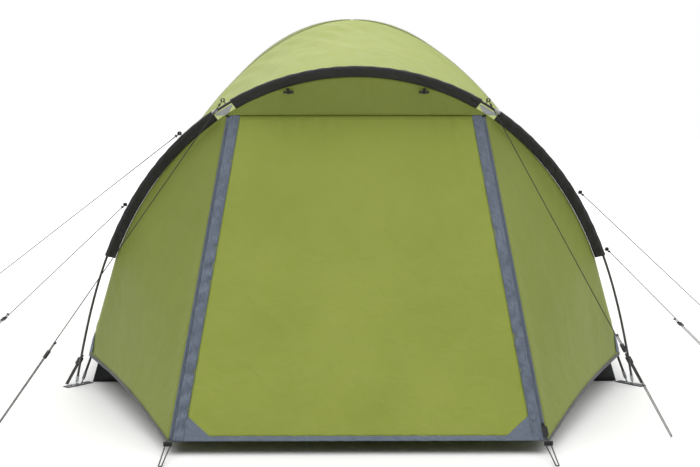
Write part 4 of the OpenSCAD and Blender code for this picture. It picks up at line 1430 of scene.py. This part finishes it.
@dataclass
class Hems:
    """Bound edges of the fly, and the grey patches at its corners."""

    tape: float = 13 * MM
    thick: float = 4.4 * MM

    def build(self, fly: FlySheet) -> None:
        """Makes the bindings and patches.

        Args:
            fly: The fly, whose last rows they bind.
        """
        porch = fly.porch_rows()[-1]
        rows = [("porch_hem_left", porch * np.array([-1, 1, 1])), ("porch_hem_right", porch)]
        for s, side in SIDES:
            rows.append((f"side_hem_{side}", fly.dome_grid((s, -1), (s, 1))[-1]))
        rows.append(("rear_hem", fly.dome_grid((-1, 1), (1, 1))[-1]))
        bindings = [self._binding(name, row) for name, row in rows]
        for piece in bindings:
            dress(piece, BINDING_TAPE, "tent", ["fly_hems"])
        self._corner_patches(porch)

    def _binding(self, name: str, row: Array) -> bpy.types.Object:
        """A tape folded over a cloth's edge, rounded at its foot."""
        row = smooth_path(row, 12 * MM)
        out = unit(np.stack([row[:, 0] - HEART[0], row[:, 1] - HEART[1], 0 * row[:, 0]], axis=1))
        half_t, half_h = self.thick / 2, self.tape / 2
        turn = np.radians(np.arange(180, 361, 30))
        outline = [(half_t * 0.7, half_h - 1 * MM), (-half_t * 0.7, half_h - 1 * MM)]
        outline += [(half_t * math.cos(a), -half_h + half_t + half_t * math.sin(a)) for a in turn]
        count = len(outline)
        gone = np.concatenate([[0], np.cumsum(np.linalg.norm(np.diff(row, axis=0), axis=1))])
        rings, uvs = [], []
        for k, centre in enumerate(row):
            wave = 0.6 * MM * math.sin(gone[k] / 0.031 + len(name)) + 0.5 * MM * math.sin(gone[k] / 0.083)
            for x, z in outline:
                rings.append(centre + out[k] * (x + wave) + np.array([0, 0, z - 4 * MM]))
                uvs.append((gone[k], x + z))
        faces = [(i * count + j, i * count + (j + 1) % count, (i + 1) * count + (j + 1) % count, (i + 1) * count + j)
                 for i in range(len(row) - 1) for j in range(count)]
        faces += [tuple(range(count)), tuple((len(row) - 1) * count + j for j in range(count))]
        piece = piece_from(name, np.array(rings), faces, np.array(uvs))
        choose(piece)
        bpy.ops.object.mode_set(mode="EDIT")
        bpy.ops.mesh.select_all(action="SELECT")
        bpy.ops.mesh.normals_make_consistent(inside=False)
        bpy.ops.object.mode_set(mode="OBJECT")
        return piece

    def _corner_patches(self, porch: Array) -> None:
        """Grey reinforcing patches at the four corners of the fly."""
        p = PITCH
        for s, side in SIDES:
            flip = np.array([s, 1, 1])
            low = mix(p.fly_corner, p.sleeve_end, 0.02) * flip
            high = mix(p.fly_corner, p.sleeve_end, 0.24) * flip
            reach = porch[2] * flip + np.array([0, 0, 8 * MM])
            self._triangle(f"front_corner_patch_{side}", low, high, reach, 131 + s)
            foot = p.main_at(p.phi_corner, p.fly_off, s, 1)
            up = p.main_at(p.phi_corner * 0.93, p.fly_off, s, 1)
            inward = foot + np.array([-s * 95 * MM, 0, 16 * MM])
            self._triangle(f"rear_corner_patch_{side}", foot, up, inward, 133 + s)

    def _triangle(self, name: str, a: Array, b: Array, c: Array, seed: int) -> None:
        """A patch over three corners, sewn just outside the cloth."""
        count = 12
        grid = np.array([[mix(mix(a, b, i / count), mix(a, c, max(i, 0.2) / count), j / count)
                          for j in range(count + 1)] for i in range(count + 1)])
        patch = Sheet(name, grid, 0.8 * MM)
        patch.push(lambda u, v: 2.4 * MM + 0.7 * MM * ripples(u, v, 0.03, 0.06, seed))
        patch.build(TRIM_CLOTH, Slot.TRIM, ["fly_corner_patches"], Held.STRETCHED)


@dataclass
class Cabin:
    """The sleeping cabin: its groundsheet, its walls and its door."""

    rows: int = 36
    cols: int = 28
    sag: float = 5 * MM
    door_w: float = 0.860
    door_top: float = 0.840

    def build(self) -> None:
        """Makes the cabin's pieces."""
        self._groundsheet()
        for first, last, name, node in (((-1, -1), (-1, 1), "cabin_wall_left", "inner_left_wall"),
                                        ((1, -1), (1, 1), "cabin_wall_right", "inner_right_wall"),
                                        ((-1, 1), (1, 1), "cabin_wall_rear", "inner_rear_wall")):
            wall = Sheet(name, self._wall_grid(first, last))
            wall.push(lambda u, v: -self.sag + 2.5 * MM * ripples(u, v, 0.25, 0.8, len(name)),
                      edge_fade(wall.grid.shape[:2], 0.1, 0.1))
            wall.build(INNER_CLOTH, Slot.INNER, [node], Held.HUNG,
                       rests_on=["main_pole_left_front", "main_pole_right_front"])
        self._front()

    def _wall_grid(self, first: tuple[int, int], last: tuple[int, int]) -> Array:
        """A grid from the crossing down to the groundsheet between two pole arms."""
        lines = []
        for i in range(self.rows + 1):
            phi = PITCH.phi_tub * max(i, 0.3) / self.rows
            a = PITCH.main_at(phi, -PITCH.cabin_gap + 0.8 * MM, *first)
            b = PITCH.main_at(phi, -PITCH.cabin_gap + 0.8 * MM, *last)
            lines.append([mix(a, b, j / self.cols) for j in range(self.cols + 1)])
        return np.array(lines)

    def _front(self) -> None:
        """The front wall with its doorway, and the door cut from the same cloth."""
        wall = Sheet("cabin_wall_front", self._wall_grid((-1, -1), (1, -1)))
        grid = wall.grid
        for name, inside, node, body in (("cabin_wall_front", False, "inner_front_wall", "tent"),
                                         ("cabin_door_cloth", True, "inner_door", "inner_door")):
            rows, cols = grid.shape[:2]
            piece = piece_from(name, grid.reshape(-1, 3), [
                (i * cols + j, (i + 1) * cols + j, (i + 1) * cols + j + 1, i * cols + j + 1)
                for i in range(rows - 1) for j in range(cols - 1)], wall.cloth.reshape(-1, 2))
            self._cut(piece, inside, 4 * MM if inside else 0.0)
            thick = piece.modifiers.new("thickness", "SOLIDIFY")
            thick.thickness = 0.6 * MM
            thick.offset = 0.0
            apply_modifiers(piece)
            dress(piece, INNER_CLOTH, body, [node])

    def _cut(self, piece: bpy.types.Object, inside: bool, inset: float) -> None:
        """Keeps the doorway's inside or outside.

        Args:
            piece: The whole front wall.
            inside: Whether the inside is kept.
            inset: How far the cut runs inside the doorway's edge.
        """
        r = self.door_w / 2 - inset
        low = PITCH.tub_h + 0.026 + inset
        spring = self.door_top - self.door_w / 2
        turn = np.radians(np.arange(0, 181, 6))
        outline = [(-r, low), (r, low)] + [(r * math.cos(a), spring + r * math.sin(a)) for a in turn]
        count = len(outline)
        points = [(x, y, z) for y in (-0.2, -1.4) for x, z in outline]
        faces = [tuple(range(count)), tuple(range(2 * count - 1, count - 1, -1))]
        faces += [(j, j + count, (j + 1) % count + count, (j + 1) % count) for j in range(count)]
        cutter = piece_from("doorway", np.array(points), faces)
        choose(cutter)
        bpy.ops.object.mode_set(mode="EDIT")
        bpy.ops.mesh.select_all(action="SELECT")
        bpy.ops.mesh.normals_make_consistent(inside=False)
        bpy.ops.object.mode_set(mode="OBJECT")
        cut = piece.modifiers.new("doorway", "BOOLEAN")
        cut.operation = "INTERSECT" if inside else "DIFFERENCE"
        cut.object = cutter
        apply_modifiers(piece)
        bpy.data.objects.remove(cutter)

    def _groundsheet(self) -> None:
        """The tub: one sheet that lies flat and turns up into a low wall all round."""
        low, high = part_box("groundsheet")
        half = np.array([high.x, high.y])
        top_in = np.array([38 * MM, 42 * MM])
        lines = []
        turn = []
        for k in range(160):
            angle = 2 * math.pi * k / 160
            c, s = math.cos(angle), math.sin(angle)
            reach = 1 / max(abs(c), abs(s))
            turn.append((c * reach, s * reach))
        for share in (0.01, 0.3, 0.6, 0.85, 0.97, 1.0):
            lines.append([np.array([x * (half[0] - 1.5 * MM) * share, y * (half[1] - 1.5 * MM) * share, 1.2 * MM])
                          for x, y in turn + turn[:1]])
        for h in np.linspace(0, 1, 8)[1:]:
            inset = top_in * h + 1.5 * MM
            lines.append([np.array([x * (half[0] - inset[0]), y * (half[1] - inset[1]),
                                    1.2 * MM + h * (PITCH.tub_h - 2 * MM)])
                          for x, y in turn + turn[:1]])
        tub = Sheet("groundsheet_tub", np.array(lines), 1.2 * MM)
        tub.build(GROUND_CLOTH, Slot.FLOOR, ["groundsheet"], Held.LAID)


@dataclass
class Fittings:
    """Poles and hardware."""

    pole_r: float = 4.25 * MM

    def build(self) -> None:
        """Makes the poles and finishes the carried-over hardware."""
        self._poles()
        self._toggles()
        plain = {
            ZINC_STEEL: ("pole_ferrules", "pole_tips", "pole_eyelets", "peg_eyelets"),
            ACETAL: ("ladder_locks", "cabin_clips"),
            WEBBING: ("corner_straps", "corner_webbings", "toggle_loops", "guy_loops", "peg_rings"),
            SHOCK_BRAID: ("shock_cords",),
        }
        for finish, nodes in plain.items():
            for node in nodes:
                finish_node(node, finish)

    def _poles(self) -> None:
        """The three poles, each a smooth bent rod."""
        for node, finish in (("main_pole_left_front", FIBREGLASS), ("main_pole_right_front", FIBREGLASS),
                             ("hoop_pole", FIBREGLASS)):
            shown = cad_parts[node]
            shown.data.materials.clear()
            shown.data.materials.append(finish.material)
        phis = np.linspace(-88.2, 88.2, 260)
        hoop = tube("hoop_rod", PITCH.hoop_at(phis), self.pole_r, 16)
        dress(hoop, FIBREGLASS, "tent", ["hoop_pole"])

    def _toggles(self) -> None:
        """Barrel toggles that hold the rolled door, rounded at the ends."""
        low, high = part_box("brow_toggles")
        reach = (high.z - low.z) / 2
        for s, side in SIDES:
            deselect()
            middle = (s * (high.x - 17 * MM), (low.y + high.y) / 2, (low.z + high.z) / 2)
            bpy.ops.mesh.primitive_cylinder_add(vertices=32, radius=reach, depth=34 * MM, location=middle,
                                                rotation=(0, math.pi / 2, 0))
            toggle = bpy.context.object
            toggle.name = toggle.data.name = f"brow_toggle_{side}"
            settle_place(toggle)
            bpy.ops.object.mode_set(mode="EDIT")
            bpy.ops.mesh.select_all(action="SELECT")
            bpy.ops.mesh.bevel(offset=1.2 * MM, segments=4, affect="EDGES")
            for place in (-6 * MM, 6 * MM):
                bpy.ops.mesh.select_all(action="SELECT")
                bpy.ops.mesh.bisect(plane_co=(middle[0] + place, middle[1], middle[2]), plane_no=(1, 0, 0))
            bpy.ops.mesh.select_all(action="DESELECT")
            bpy.ops.object.mode_set(mode="OBJECT")
            choose(toggle)
            bpy.ops.object.shade_smooth_by_angle(angle=math.radians(40))
            dress(toggle, ACETAL, "tent", ["brow_toggles"])


def main() -> None:
    """Builds the tent in order: stage, cords, cloth, fittings."""
    logging.basicConfig(level=logging.INFO, format="%(name)s %(message)s")
    Studio().build()
    Guylines().build()
    PegLoops().build()
    fly = FlySheet()
    fly.build()
    Hems().build(fly)
    Sleeves().build()
    PorchDoor().build()
    DoorZips().build()
    Cabin().build()
    Fittings().build()


if __name__ == "__main__":
    main()
